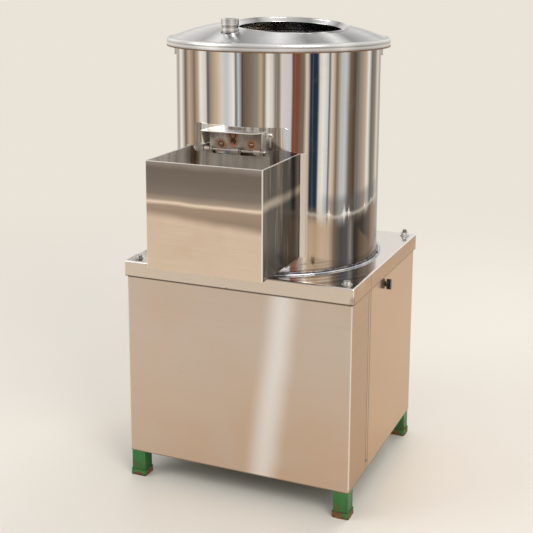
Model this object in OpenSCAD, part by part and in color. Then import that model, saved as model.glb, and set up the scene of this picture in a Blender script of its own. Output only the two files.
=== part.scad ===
// Electric batch peeler for potatoes.
// A green steel leg frame in a sheet cabinet carries a stainless drum with an abrasive turntable.
// +Z is up, the operator stands at -Y, and the origin is the bottom centre of the whole machine.

/* [Cabinet] */
// Width of the top tray over its skirt
tray_w = 600; // [590:2:700]
// Depth of the top tray over its skirt
tray_d = 544; // [544:2:640]
// Height of the tray's top face above the floor
tray_z = 574; // [560:2:680]
// Sheet thickness of the tray
tray_t = 2; // [1.5:0.25:3]
// Height of the tray's folded skirt
skirt_h = 40; // [34:1:50]
// Outer radius of the tray's folded edges and corners
tray_bend_r = 5; // [4:0.5:7]
// Gap between the skirt and the panels under it
skirt_gap = 3; // [2:0.25:5]
// Sheet thickness of the cabinet panels
panel_t = 1.5; // [1:0.25:2]
// Outer radius of the panels' folded corners
panel_bend_r = 4; // [3:0.5:6]
// Height of the panels' lower edge above the floor
panel_z = 68; // [60:1:90]
// Width of the panels' folded lower and rear edges
hem_w = 14; // [10:1:20]
// Length of the front cover's side returns, up to the seam
return_w = 127; // [110:1:160]
// Open gap at the upright seams
seam_gap = 1.2; // [0.8:0.1:2]
// Width of the fixing tongue behind each seam
tongue_w = 16; // [12:1:22]
// Length of one louvre slot in the back panel
vent_l = 130; // [80:5:170]
// Height of one louvre slot
vent_h = 6; // [4:0.5:9]
// Number of louvre slots in each column
vent_count = 7; // [4:1:9]

/* [Frame] */
// Outside width of the square leg tube
leg_w = 38; // [34:1:42]
// Wall of the leg tube and of the rails
tube_wall = 2.5; // [2:0.25:3.5]
// Outside corner radius of the leg tube
leg_corner_r = 3; // [2:0.5:5]
// Thickness of the tapped plate that closes each leg's top
leg_cap_t = 6; // [5:0.5:10]
// Outside size of the square rail tube
rail_w = 30; // [26:1:34]
// Height of the lower rails' underside above the floor
rail_z = 76; // [70:1:100]
// Clearance between the frame and the panels round it
frame_fit = 0.5; // [0.3:0.1:1]
// Wall of the steel foot caps
foot_wall = 2.2; // [1.5:0.1:4]
// Height of the foot caps
foot_h = 15; // [10:1:25]
// Thickness of the foot caps' sole
foot_sole = 5; // [3:0.5:8]
// Clearance between a leg and its foot cap
foot_fit = 0.2; // [0.1:0.05:0.5]

/* [Drum] */
// Outside radius of the drum
drum_r = 257; // [240:1:258]
// Sheet thickness of the drum wall
drum_t = 2; // [1.5:0.25:3]
// Height of the drum from the tray to its rolled top edge
drum_h = 544; // [520:2:600]
// Radius of the rolled bead along the drum's top edge
drum_bead_r = 3.2; // [2.5:0.1:4]
// How far the base flange stands out from the drum
flange_out = 11; // [10:0.5:12]
// How far the base flange reaches in under the drum floor
flange_in = 22; // [16:1:30]
// Thickness of the base flange
flange_t = 3; // [2.5:0.25:5]
// Number of small bolts in the base flange
flange_bolt_count = 12; // [8:1:16]
// Radius of the small flange bolt heads
flange_head_r = 3.2; // [2.8:0.1:3.4]
// Height of the drum floor above the tray
floor_rise = 17; // [14:1:24]
// Thickness of the drum floor
floor_t = 3; // [2:0.5:5]
// Thickness of the abrasive wall liner
liner_t = 8; // [5:0.5:10]
// Clearance round the liner
liner_fit = 0.3; // [0.2:0.1:0.6]
// Distance from the liner's top to the drum's top
liner_drop = 24; // [16:1:60]

/* [Turntable] */
// Running gap between the turntable and the liner
table_gap = 4; // [3:0.5:7]
// Height of the turntable's underside above the drum floor
table_rise = 13; // [11:1:18]
// Thickness of the steel disc
table_t = 8; // [6:0.5:10]
// Thickness of the abrasive on the disc
grit_t = 8; // [6:0.5:12]
// Height of the three waves above the abrasive
wave_h = 20; // [14:1:28]
// Rounding radius of the waves
wave_r = 62; // [50:1:80]
// Number of waves
wave_count = 3; // [2:1:4]
// Radius of the turntable's hub
hub_r = 34; // [30:1:40]
// Height of the domed hub nut
hub_nut_h = 16; // [12:1:22]
// Height of the sweeper blades under the disc
sweep_h = 8; // [6:0.5:9]
// Thickness of the sweeper blades
sweep_t = 5; // [4:0.5:8]

/* [Drive] */
// Radius of the turntable shaft in its bearings
shaft_r = 15; // [14:0.5:16]
// Outside radius of the ball bearings
bearing_r = 31; // [30:0.5:33]
// Width of the ball bearings
bearing_w = 16; // [14:1:18]
// Clearance between shaft and bearing rings, on the radius
bearing_fit = 0.05; // [0.03:0.01:0.08]
// Outside radius of the bearing housing
housing_r = 42; // [40:1:46]
// Distance between the outer faces of the two bearings
bearing_span = 108; // [90:2:116]
// Radius of the housing's bolting flange
housing_flange_r = 74; // [70:1:78]
// Thickness of the housing's bolting flange
housing_flange_t = 12; // [10:1:16]
// Side of the steel plate under the two cross beams
carrier_w = 230; // [220:2:260]
// Thickness of that carrier plate
carrier_t = 8; // [6:1:12]
// Distance of each cross beam's centre from the shaft
beam_y = 82; // [78:1:92]
// Outside radius of the driven pulley
big_pulley_r = 122; // [110:1:128]
// Outside radius of the motor pulley
small_pulley_r = 38; // [34:1:44]
// Width of both pulleys
pulley_w = 22; // [20:1:26]
// Width of the V-belt's outer face
belt_w = 13; // [11:0.5:14]
// Thickness of the V-belt
belt_t = 8; // [7:0.5:9]
// Half angle of the belt's flanks
belt_angle = 19; // [17:0.5:20]
// Clearance between the belt and its grooves
belt_fit = 0.3; // [0.2:0.1:0.5]
// Distance of the motor from the shaft, to the side
motor_x = 150; // [140:1:165]
// Distance of the motor from the shaft, to the rear
motor_y = 140; // [130:1:150]
// Radius of the motor body
motor_r = 68; // [60:1:74]
// Length of the motor body
motor_l = 210; // [180:5:240]
// Radius of the motor shaft
motor_shaft_r = 12; // [10:0.5:14]
// Height of the cooling fins
fin_h = 7; // [5:0.5:9]
// Number of cooling fins
fin_count = 28; // [20:2:36]
// Thickness of the motor's mounting cradle
cradle_t = 4; // [3:0.5:6]

/* [Lid] */
// Radius of the lid over its rolled rim
lid_r = 280; // [276:1:290]
// Sheet thickness of the lid
lid_t = 2; // [1.5:0.25:2.5]
// Height of the lid's rolled rim
lid_rim_h = 19; // [15:1:24]
// Rounding of the rim's outer edge
lid_nose_r = 8; // [5:0.5:9]
// Radius where the dome leaves the flat rim
dome_r = 262; // [260:1:266]
// Rise of the dome above the flat rim
dome_rise = 43.5; // [36:0.5:50]
// Clearance between the lid and the drum's bead
lid_seat = 0.3; // [0.2:0.1:0.5]
// Height of the brown edging under the rim
edging_h = 3; // [2:0.5:5]
// Outside radius of the feed collar
collar_r = 144; // [138:1:146]
// Radius of the feed opening
feed_r = 128; // [120:1:134]
// Depth of the collar's dished lip
feed_dish = 8; // [6:0.5:12]
// Offset of the feed collar to the side
collar_x = 50; // [40:1:54]
// Offset of the feed collar to the front
collar_y = 50; // [40:1:54]
// Tilt of the feed collar, in degrees
collar_tilt = 5; // [4:0.25:5.5]
// Direction of that tilt, in degrees round from the side towards the front
collar_turn = 54; // [45:1:60]
// Radius of the rolled bead on the collar
collar_bead_r = 3.2; // [2.5:0.1:4]
// Clearance round the collar in the dome
collar_fit = 0.2; // [0.15:0.05:0.4]
// Offset of the water inlet to the side
inlet_x = 44; // [40:1:50]
// Offset of the water inlet to the front
inlet_y = 196; // [194:1:200]
// Outside radius of the water inlet's socket
inlet_r = 21; // [19:0.5:22]
// Radius of the water inlet's bore
inlet_bore_r = 15; // [12:0.5:16]
// Height of the socket
inlet_socket_h = 15.5; // [13:0.5:20]
// Height of the neck under the socket
inlet_neck_h = 15; // [13:0.5:20]
// Groove between neck and socket
inlet_groove = 1.5; // [1:0.25:2.5]

/* [Discharge] */
// Width of the discharge opening in the drum
door_open_w = 140; // [120:2:150]
// Height of the discharge opening
door_open_h = 208; // [200:2:212]
// Height of the opening's sill above the tray
door_sill = 68; // [66:1:80]
// Width of the hinged door
door_w = 164; // [160:1:168]
// Thickness of the door plate
door_t = 2; // [1.5:0.25:3]
// How far the door laps over the opening, above and below
door_lap = 9; // [8:0.5:10]
// Space between drum and door, filled by the gasket
gasket_t = 4; // [3.5:0.25:5]
// Clearance of the gasket on the drum
gasket_fit = 0.3; // [0.2:0.1:0.4]
// Width of the drum's door frame at its wide top
frame_plate_w = 242; // [236:2:256]
// Height of that wide top plate
frame_plate_h = 53; // [50:1:58]
// Rounding of the top plate's corners
frame_plate_r = 12; // [8:1:16]
// Width of the narrow side strips beside the door
frame_strip_w = 12; // [8:1:14]
// Thickness of the door frame sheet
frame_plate_t = 1.5; // [1:0.25:2]
// Width of the hood over the door hinge
hood_w = 144; // [140:2:150]
// How far the hood stands out from the drum
hood_out = 41; // [36:1:50]
// Height of the hood above the door hinge
hood_rise = 47; // [44:1:52]
// Thickness of the hood and its cheeks
hood_t = 2; // [1.5:0.25:3]
// Rounding of the hood's right front corner
hood_corner_r = 26; // [16:1:34]
// Splay of the hood's left gusset
gusset_splay = 14; // [8:1:20]
// Radius of the door's hinge rod
rod_r = 3; // [2.5:0.25:3.5]
// Running clearance of the hinge rod
rod_fit = 0.08; // [0.05:0.01:0.1]
// Outside radius of the hinge knuckles
knuckle_r = 6; // [5.5:0.25:7]
// Distance of the hinge rod in front of the drum
rod_out = 11.5; // [11:0.25:13]
// Radius of the drop catch's round head
catch_head_r = 7; // [5:0.5:8]
// Length of the drop catch's tongue
catch_l = 29; // [24:1:32]

/* [Chute box] */
// Width of the chute box
box_w = 286; // [282:2:306]
// Height of the chute box
box_h = 249; // [230:1:270]
// Height of the box's lower edge above the tray
box_lift = 42; // [36:1:60]
// How far the box stands out in front of the drum
box_out = 179; // [176:1:220]
// Sheet thickness of the box
box_t = 1.5; // [1:0.25:2.5]
// Bend radius of the box's front corners
box_bend_r = 4; // [3:0.5:8]
// Height of the folded hem along the box's top edge
box_hem_h = 10; // [6:1:16]
// Width of the strips that fix the box to the drum
box_strip_w = 13; // [10:1:18]
// Length of the sloping sill inside the box
sill_l = 52; // [46:1:70]
// Fall of the sill towards the front
sill_fall = 16; // [10:1:22]

/* [Fittings] */
// Width across the flats of the tray bolts
bolt_af = 17; // [14:0.5:19]
// Radius of the tray bolts' washers
washer_r = 12.5; // [11:0.5:14]
// Thickness of the washers
washer_t = 2; // [1.5:0.25:3]
// Height of the bolt heads
bolt_head_h = 7; // [6:0.5:9]
// Radius of the tray bolts' shanks
bolt_r = 5; // [4:0.25:6]
// Radius of the switch knob's round base
knob_r = 10.5; // [9:0.5:13]
// Height of the bar grip, along its length
knob_bar_l = 26; // [22:1:32]
// Width of the bar grip
knob_bar_w = 9; // [7:0.5:11]
// How far the knob stands out from the panel
knob_out = 14; // [13:0.5:22]
// Height of the knob's axis below the tray
knob_drop = 65; // [62:1:80]
// Radius of the switch spindle
spindle_r = 3; // [2.5:0.25:3.5]
// Side of the switch body
switch_w = 46; // [40:1:50]
// Depth of the switch body
switch_d = 38; // [30:1:50]
// Radius of the drain pipe
drain_r = 25; // [20:1:28]
// Wall of the drain pipe
drain_wall = 2; // [1.5:0.25:3]
// Bend radius of the drain pipe's centre line
drain_bend_r = 40; // [36:1:50]
// Distance of the drain from the shaft, to the side
drain_x = 140; // [135:1:150]
// Distance of the drain from the shaft, to the rear
drain_y = 130; // [125:1:140]
// How far the drain spigot stands out at the back
drain_out = 46; // [36:1:60]
// Length of the hook under the lid, seen as a small tab
clip_h = 17; // [12:1:22]
// Width of those tabs
clip_w = 12; // [8:1:16]
// How far the tabs stand out from the drum
clip_out = 5; // [4:0.5:8]

/* [Hidden] */
$fn = 96;
// Overrun of every cut past the face that it opens
over = 1;
// Steps along the dome's curve
dome_steps = 26;
// Steps round the rim's nose
nose_steps = 6;
// Facets of the large round parts
round_fn = 180;
// Turn of the tray bolts' hexagons
bolt_turn = 12;
// Direction of the first rim tab
clip_dir = 22;
// Number of balls in each bearing
ball_count = 9;
// Number of lightening holes in the driven pulley
web_hole_count = 5;
// Turn of the turntable's first wave
wave_turn = 30;

// Places that the panels share
panel_x = tray_w / 2 - tray_t - skirt_gap;
panel_y = tray_d / 2 - tray_t - skirt_gap;
panel_top = tray_z - tray_t;
panel_h = panel_top - panel_z;
seam_y = -panel_y + return_w;
frame_x = panel_x - panel_t - frame_fit;
frame_y = panel_y - panel_t - frame_fit;
leg_x = frame_x - leg_w / 2;
leg_y = frame_y - leg_w / 2;
upper_rail_z = panel_top - rail_w;
tongue_gap = frame_fit * 2;

// Panel screws
screw_r = bolt_r * 0.4;
screw_head_r = screw_r * 2;
screw_l = panel_t + frame_fit + tube_wall * 2;
screw_y = seam_y + seam_gap + screw_head_r * 2;
screw_z = rail_z + rail_w / 2;
back_screw_x = panel_x * 0.6;

// Drum and base
flange_z = tray_z + flange_t;
flange_r = drum_r + flange_out;
flange_bead_r = flange_t * 0.6;
drum_in_r = drum_r - drum_t;
drum_top = tray_z + drum_h;
floor_z = tray_z + floor_rise;
liner_r = drum_in_r - liner_fit;
liner_in_r = liner_r - liner_t;
liner_top = drum_top - liner_drop;
bolt_ring_r = drum_r + flange_out / 2 - flange_bead_r;
tray_hole_r = housing_r * 1.4;

// Turntable and shaft
table_z = floor_z + floor_t + table_rise;
table_r = liner_in_r - table_gap;
grit_z = table_z + table_t;
table_top = grit_z + grit_t;
hub_low = table_z - bearing_w / 16;
neck_r = shaft_r * 0.86;
housing_top = panel_top;
bearing_top = housing_top - bearing_w / 4;
bearing_low = bearing_top - bearing_span;
carrier_z = panel_top - leg_w - carrier_t;
housing_flange_z = carrier_z - housing_flange_t;
housing_low = bearing_low - bearing_w / 4;
pulley_hub_h = pulley_w * 1.3;
pulley_mid_z = housing_low - bearing_w / 2 - pulley_hub_h / 2;
pulley_low_z = pulley_mid_z - pulley_w / 2;
race_mid_r = (shaft_r + bearing_r) / 2;
ball_r = (bearing_r - shaft_r) * 0.28;
race_wall = (bearing_r - shaft_r) * 0.34;
seal_h = table_z - floor_z - floor_t - bearing_w / 8;

// Belt drive
belt_out_big = big_pulley_r - belt_fit;
belt_out_small = small_pulley_r - belt_fit;
drive_l = norm([motor_x, motor_y]);
drive_dir = atan2(motor_y, motor_x);
belt_lean = asin((belt_out_big - belt_out_small) / drive_l);
cradle_top = pulley_low_z - cradle_t * 3;
cradle_front = motor_y - motor_r * 1.15;
cradle_left = motor_x - motor_r * 1.3;
motor_flange_t = cradle_t * 2;

// Lid
lid_low = drum_top + lid_seat;
lid_top = lid_low + lid_t;
dome_a = dome_r * 1.14;
dome_end = asin(dome_r / dome_a);
dome_b = dome_rise / (1 - cos(dome_end));
collar_off = norm([collar_x, collar_y]);
function dome_z(r) = lid_top - dome_b * cos(dome_end) + dome_b * sqrt(1 - pow(r / dome_a, 2));
collar_z = (dome_z(collar_r + collar_off) + dome_z(collar_r - collar_off)) / 2;
inlet_z = dome_z(norm([inlet_x, inlet_y]));

// Discharge door
sill_z = tray_z + door_sill;
door_low = sill_z - door_lap;
door_top = sill_z + door_open_h + door_lap;
rod_z = door_top + knuckle_r + door_t * 3;
rod_y = -drum_r - rod_out;
gasket_in_r = drum_r + gasket_fit;
door_in_r = drum_r + gasket_t;
hood_z = rod_z + hood_rise;
hood_y = -drum_r - hood_out;
frame_plate_z = rod_z + frame_plate_t;
strip_in = door_w / 2 + door_t * 2;
header_y = rod_y + knuckle_r + frame_fit + frame_plate_t * 0.2;
catch_x = hood_w / 2 + catch_head_r + hood_t;
catch_dir = asin(catch_x / (drum_r + frame_plate_t));
catch_z = frame_plate_z + frame_plate_h * 0.68;
catch_t = frame_plate_t * 1.5;
catch_cap_z = frame_fit + foot_fit * 2 + catch_t;
ear_w = knuckle_r * 3.6;
ear_end = hood_w / 2 + knuckle_r + ear_w + frame_fit;
strap_top = rod_z - knuckle_r + door_t;
knuckle_shares = [[-1.055, -0.86], [-0.083, 0.17], [0.69, 0.92]];
eye_shares = [[-0.833, -0.778], [0.19, 0.232]];
header_bolt_shares = [[-0.08, 0.66], [-0.5, 0.06], [0.57, 0.12]];

// Chute box
box_z = tray_z + box_lift;
box_front = -drum_r - box_out;
box_back = sqrt(pow(drum_r, 2) - pow(box_w / 2, 2)) - box_t;
sill_top = sill_z - door_lap - frame_fit;

// Switch, cable gland and drain
knob_z = tray_z - knob_drop;
knob_tip = panel_x + knob_out;
bush_r = spindle_r * 2;
bush_l = spindle_r * 0.8;
knob_gap = spindle_r / 3;
screw_pocket = screw_r * 0.8;
gland_r = bolt_r * 2.2;
gland_x = panel_x * 0.62;
gland_z = rail_z + rail_w + gland_r * 3;
drain_z = carrier_z - drain_r;
drain_end = panel_y + drain_out;

// The machine is drawn round the drum's axis and then moved so that its own box is centred
mid_x = (knob_tip - tray_w / 2) / 2;
mid_y = (drain_end + box_front) / 2;

module place() {
    translate([-mid_x, -mid_y, 0]) children();
}

// A flat rectangle with round corners, centred
module round_rect(w, d, r) {
    square([w - r * 2, d], center = true);
    square([w, d - r * 2], center = true);
    for (x = [-1, 1], y = [-1, 1]) translate([x * (w / 2 - r), y * (d / 2 - r)]) circle(r);
}

// A block with round top edges and corners, centred on its base
module soft_top(w, d, h, r) {
    linear_extrude(h - r) round_rect(w, d, r);
    linear_extrude(h) square([w - r * 2, d - r * 2], center = true);
    for (s = [-1, 1]) {
        translate([s * (w / 2 - r), 0, h - r]) rotate([90, 0, 0])
            cylinder(h = d - r * 2, r = r, center = true);
        translate([0, s * (d / 2 - r), h - r]) rotate([0, 90, 0])
            cylinder(h = w - r * 2, r = r, center = true);
    }
    for (x = [-1, 1], y = [-1, 1]) translate([x * (w / 2 - r), y * (d / 2 - r), h - r]) sphere(r);
}

module pipe(h, ro, ri) {
    difference() {
        cylinder(h = h, r = ro);
        translate([0, 0, -over]) cylinder(h = h + over * 2, r = ri);
    }
}

// A square tube along Z
module square_tube(w, h, wall, r) {
    linear_extrude(h) difference() {
        round_rect(w, w, r);
        square(w - wall * 2, center = true);
    }
}

// A curved sheet lying on a cylinder round the drum's axis, cut to a front outline in X and Z
module drum_skin(r, t) {
    intersection() {
        difference() {
            cylinder(h = drum_top, r = r + t, $fn = round_fn);
            translate([0, 0, -over]) cylinder(h = drum_top + over * 2, r = r, $fn = round_fn);
        }
        rotate([90, 0, 0]) linear_extrude(drum_r * 2) children();
    }
}

// An outline in X and Z between two heights
module x_band(half, low, high) {
    translate([-half, low]) square([half * 2, high - low]);
}

module hex_prism(af, h) {
    cylinder(h = h, r = af / sqrt(3), $fn = 6);
}

module at_legs() {
    for (x = [-1, 1], y = [-1, 1]) translate([x * leg_x, y * leg_y, 0]) children();
}

// Frame

module legs() {
    tube_l = panel_top - leg_cap_t - foot_sole;
    color("seagreen") place() at_legs() {
        translate([0, 0, foot_sole]) square_tube(leg_w, tube_l, tube_wall, leg_corner_r);
        translate([0, 0, panel_top - leg_cap_t]) difference() {
            linear_extrude(leg_cap_t) round_rect(leg_w, leg_w, leg_corner_r);
            translate([0, 0, -over]) cylinder(h = leg_cap_t + over * 2, r = bolt_r + foot_fit);
        }
    }
}

module foot_caps() {
    outside = leg_w + foot_fit * 2 + foot_wall * 2;
    color("saddlebrown") place() at_legs() difference() {
        linear_extrude(foot_h) round_rect(outside, outside, leg_corner_r + foot_fit + foot_wall);
        translate([0, 0, foot_sole]) linear_extrude(foot_h) round_rect(leg_w + foot_fit * 2,
            leg_w + foot_fit * 2, leg_corner_r + foot_fit);
    }
}

// Rails between the legs, flush with their outer faces, with the screw holes of the side panels
module rail_ring(z) {
    side_l = (leg_y - leg_w / 2) * 2;
    front_l = (leg_x - leg_w / 2) * 2;
    for (s = [-1, 1]) {
        translate([s * (frame_x - rail_w / 2), side_l / 2, z + rail_w / 2]) rotate([90, 0, 0])
            square_tube(rail_w, side_l, tube_wall, leg_corner_r);
        translate([-front_l / 2, s * (frame_y - rail_w / 2), z + rail_w / 2]) rotate([0, 90, 0])
            square_tube(rail_w, front_l, tube_wall, leg_corner_r);
    }
}

// Screw axes, pointing out of the cabinet
module at_screws() {
    for (s = [-1, 1]) {
        translate([s * panel_x, screw_y, screw_z]) rotate([0, s * 90, 0]) children();
        for (z = [screw_z, upper_rail_z + rail_w * 0.4]) {
            translate([s * back_screw_x, panel_y, z]) rotate([-90, 0, 0]) children();
        }
    }
}

module screw_holes(fit) {
    at_screws() translate([0, 0, -screw_l - over]) cylinder(h = screw_l + over * 2, r = screw_r + fit);
}

module frame_rails() {
    color("seagreen") place() difference() {
        union() {
            rail_ring(rail_z);
            rail_ring(upper_rail_z);
        }
        screw_holes(foot_fit);
    }
}

module cross_beams() {
    beam_l = (frame_x - rail_w) * 2;
    color("seagreen") place() for (s = [-1, 1]) {
        translate([-beam_l / 2, s * beam_y, panel_top - leg_w / 2]) rotate([0, 90, 0])
            square_tube(leg_w, beam_l, tube_wall, leg_corner_r);
    }
}

module at_housing_bolts() {
    for (a = [45 : 90 : 315]) rotate(a) translate([(housing_r + housing_flange_r) / 2, 0, 0]) children();
}

module carrier_plate() {
    color("dimgray") place() translate([0, 0, carrier_z]) difference() {
        linear_extrude(carrier_t) round_rect(carrier_w, carrier_w, leg_corner_r * 2);
        translate([0, 0, -over]) cylinder(h = carrier_t + over * 2, r = housing_r + frame_fit);
        at_housing_bolts() translate([0, 0, -over]) cylinder(h = carrier_t + over * 2, r = bolt_r + foot_fit);
    }
}

// Cabinet panels

module panel_plan(inset) {
    round_rect((panel_x - inset) * 2, (panel_y - inset) * 2, max(panel_bend_r - inset, panel_t));
}

module behind_seam() {
    translate([-tray_w, seam_y]) square([tray_w * 2, tray_d * 2]);
}

module front_cover() {
    leg_hole = leg_w + foot_wall * 2;
    color("silver") place() {
        translate([0, 0, panel_z]) linear_extrude(panel_h) difference() {
            panel_plan(0);
            panel_plan(panel_t);
            behind_seam();
        }
        translate([0, 0, panel_z]) linear_extrude(panel_t) difference() {
            panel_plan(0);
            panel_plan(hem_w);
            behind_seam();
            for (x = [-1, 1]) translate([x * leg_x, -leg_y]) square(leg_hole, center = true);
        }
        for (s = [-1, 1]) {
            translate([s * (panel_x - panel_t * 1.5), seam_y, (rail_z + upper_rail_z + rail_w) / 2])
                cube([panel_t, tongue_w * 2, upper_rail_z - rail_z - rail_w - tongue_gap * 2], center = true);
        }
    }
}

// One side panel with its folded lower and rear edges, drawn for the right-hand side
module side_panel() {
    front = seam_y + seam_gap;
    depth = panel_y - front;
    difference() {
        union() {
            translate([panel_x - panel_t, front, panel_z]) cube([panel_t, depth - panel_bend_r, panel_h]);
            translate([0, 0, panel_z]) linear_extrude(panel_h) intersection() {
                difference() {
                    panel_plan(0);
                    panel_plan(panel_t);
                }
                translate([panel_x - hem_w, panel_y - hem_w]) square(hem_w + over);
            }
            translate([panel_x - hem_w, front, panel_z]) cube([hem_w - panel_t / 2,
                leg_y - leg_w / 2 - foot_wall - front, panel_t]);
        }
        screw_holes(foot_fit);
    }
}

module left_panel() {
    color("silver") place() mirror([1, 0, 0]) side_panel();
}

module right_panel() {
    color("silver") place() difference() {
        side_panel();
        translate([panel_x - panel_t - over, 0, knob_z]) rotate([0, 90, 0])
            cylinder(h = panel_t + over * 2, r = bush_r + foot_fit);
    }
}

module back_panel() {
    half = panel_x - hem_w - seam_gap;
    vent_pitch = vent_h * 2.6;
    vent_z = (panel_z + upper_rail_z) / 2;
    color("silver") place() difference() {
        translate([-half, panel_y - panel_t, panel_z]) cube([half * 2, panel_t, panel_h]);
        for (s = [-1, 1], i = [0 : vent_count - 1]) {
            translate([s * half * 0.45, panel_y, vent_z + (i - (vent_count - 1) / 2) * vent_pitch])
                cube([vent_l, panel_t * 3, vent_h], center = true);
        }
        translate([-drain_x, panel_y - panel_t - over, drain_z]) rotate([-90, 0, 0])
            cylinder(h = panel_t + over * 2, r = drain_r + frame_fit);
        translate([gland_x, panel_y - panel_t - over, gland_z]) rotate([-90, 0, 0])
            cylinder(h = panel_t + over * 2, r = gland_r + foot_fit);
        screw_holes(foot_fit);
    }
}

module top_tray() {
    inner_w = tray_w - tray_t * 2;
    inner_d = tray_d - tray_t * 2;
    groove = tray_t * 0.3;
    cut_h = tray_t + over * 2;
    color("gainsboro") place() difference() {
        translate([0, 0, tray_z - skirt_h]) soft_top(tray_w, tray_d, skirt_h, tray_bend_r);
        translate([0, 0, tray_z - skirt_h - over]) soft_top(inner_w, inner_d, skirt_h - tray_t + over,
            tray_bend_r - tray_t);
        translate([0, 0, panel_top - over]) {
            cylinder(h = cut_h, r = tray_hole_r);
            translate([-drain_x, drain_y, 0]) cylinder(h = cut_h, r = drain_r + frame_fit);
            at_legs() cylinder(h = cut_h, r = bolt_r + foot_fit);
        }
        for (s = [-1, 1]) translate([s * tray_w / 2, seam_y, tray_z - skirt_h / 2])
            cube([groove * 2, groove * 2, skirt_h - tray_bend_r * 2], center = true);
    }
}

// Three hex bolts, and a nut on a stud at the rear right corner
module tray_bolts() {
    shank = tray_t + leg_cap_t * 2;
    color("lightgray") place() for (x = [-1, 1], y = [-1, 1]) {
        translate([x * leg_x, y * leg_y, tray_z]) {
            cylinder(h = washer_t, r = washer_r);
            translate([0, 0, washer_t]) rotate(x * y * bolt_turn) intersection() {
                hex_prism(bolt_af, bolt_head_h);
                cylinder(h = bolt_head_h, r1 = bolt_af * 0.66, r2 = bolt_af * 0.53);
            }
            translate([0, 0, -shank]) cylinder(h = shank + washer_t, r = bolt_r);
            if (x == 1 && y == 1) cylinder(h = washer_t + bolt_head_h * 2, r = bolt_r);
        }
    }
}

module panel_screws() {
    color("gray") place() at_screws() {
        difference() {
            scale_cap(screw_head_r, screw_r);
            translate([0, 0, screw_r * 0.6]) linear_extrude(screw_r)
                square([screw_head_r * 3, screw_r * 0.4], center = true);
        }
        translate([0, 0, -screw_l]) cylinder(h = screw_l, r = screw_r);
    }
}

// A low round cap: the slice of a ball with radius r across its base and height h
module scale_cap(r, h) {
    ball = (r * r + h * h) / (h * 2);
    intersection() {
        translate([0, 0, h - ball]) sphere(ball);
        cylinder(h = h + over, r = r);
    }
}

// Drum

module door_hole() {
    translate([-door_open_w / 2, -drum_r - over, sill_z])
        cube([door_open_w, drum_r, door_open_h]);
}

module drum_shell() {
    wall_h = drum_top - flange_z - drum_bead_r;
    color("silver") place() difference() {
        translate([0, 0, flange_z]) rotate_extrude($fn = round_fn) {
            translate([drum_in_r, 0]) square([drum_t, wall_h]);
            translate([drum_r - drum_t / 2 + drum_bead_r, wall_h]) circle(drum_bead_r);
        }
        door_hole();
    }
}

module drum_flange() {
    ring_w = flange_in + drum_t + flange_out - flange_bead_r;
    color("gainsboro") place() translate([0, 0, tray_z]) difference() {
        rotate_extrude($fn = round_fn) {
            translate([drum_in_r - flange_in, 0]) square([ring_w, flange_t]);
            translate([flange_r - flange_bead_r, flange_bead_r]) circle(flange_bead_r);
        }
        at_flange_bolts() translate([0, 0, -over])
            cylinder(h = flange_t * 2 + over, r = flange_head_r / 2 + foot_fit);
    }
}

module at_flange_bolts() {
    step = 360 / flange_bolt_count;
    for (i = [0 : flange_bolt_count - 1]) {
        rotate(-90 + step * (i + 0.3)) translate([bolt_ring_r, 0, 0]) children();
    }
}

module flange_bolts() {
    color("gray") place() translate([0, 0, flange_z]) at_flange_bolts() {
        hex_prism(flange_head_r * 2 * cos(30), flange_head_r * 0.9);
        translate([0, 0, -flange_t]) cylinder(h = flange_t, r = flange_head_r / 2);
    }
}

module drum_floor() {
    rim_r = drum_in_r - liner_fit;
    color("silver") place() difference() {
        union() {
            translate([0, 0, floor_z]) cylinder(h = floor_t, r = rim_r, $fn = round_fn);
            translate([0, 0, flange_z]) pipe(floor_z - flange_z, rim_r, rim_r - floor_t, $fn = round_fn);
        }
        translate([0, 0, flange_z]) cylinder(h = floor_z, r = shaft_r * 1.6);
        translate([-drain_x, drain_y, flange_z]) cylinder(h = floor_z, r = drain_r + foot_fit);
    }
}

module drum_liner() {
    low = floor_z + floor_t;
    color("dimgray") place() difference() {
        translate([0, 0, low]) pipe(liner_top - low, liner_r, liner_in_r, $fn = round_fn);
        translate([-door_open_w / 2, -drum_r, sill_z]) cube([door_open_w, drum_r, door_open_h]);
    }
}

// Small tabs on the drum just under the lid, across the drum from each other
module rim_clips() {
    clip_z = drum_top - lid_rim_h - edging_h - clip_h * 1.3;
    color("silver") place() for (a = [0, 180]) rotate(a + clip_dir)
        translate([drum_r, 0, clip_z]) difference() {
        translate([-drum_t / 2, -clip_w / 2, 0]) cube([clip_out + drum_t / 2, clip_w, clip_h]);
        translate([clip_out * 0.35, -clip_w, clip_h * 0.2]) cube([clip_out * 0.3, clip_w * 2, clip_h]);
        translate([-drum_r, 0, -over]) cylinder(h = clip_h + over * 2, r = drum_r, $fn = round_fn);
    }
}

// Discharge door, its frame and its hood

module door_frame() {
    low = door_low - frame_strip_w;
    color("silver") place() {
        drum_skin(drum_r, frame_plate_t) {
            translate([0, frame_plate_z + frame_plate_h / 2])
                round_rect(frame_plate_w, frame_plate_h, frame_plate_r);
            x_band(frame_plate_w / 2, frame_plate_z, frame_plate_z + frame_plate_r);
            difference() {
                x_band(strip_in + frame_strip_w, low, frame_plate_z + frame_strip_w);
                x_band(strip_in, door_low - door_t, frame_plate_z);
            }
        }
        drum_skin(drum_r, frame_plate_t * 3) difference() {
            x_band(frame_plate_w / 2, frame_plate_z, frame_plate_z + frame_plate_t);
            x_band(hood_w / 2 + frame_strip_w, frame_plate_z - over, frame_plate_z + frame_strip_w);
            translate([-ear_end, frame_plate_z - over]) square([ear_end, frame_strip_w]);
        }
    }
}

// Cuts away what reaches into the drum or its door frame
module off_the_drum() {
    difference() {
        children();
        translate([0, 0, floor_z]) cylinder(h = drum_h, r = drum_r + frame_plate_t, $fn = round_fn);
    }
}

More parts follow.
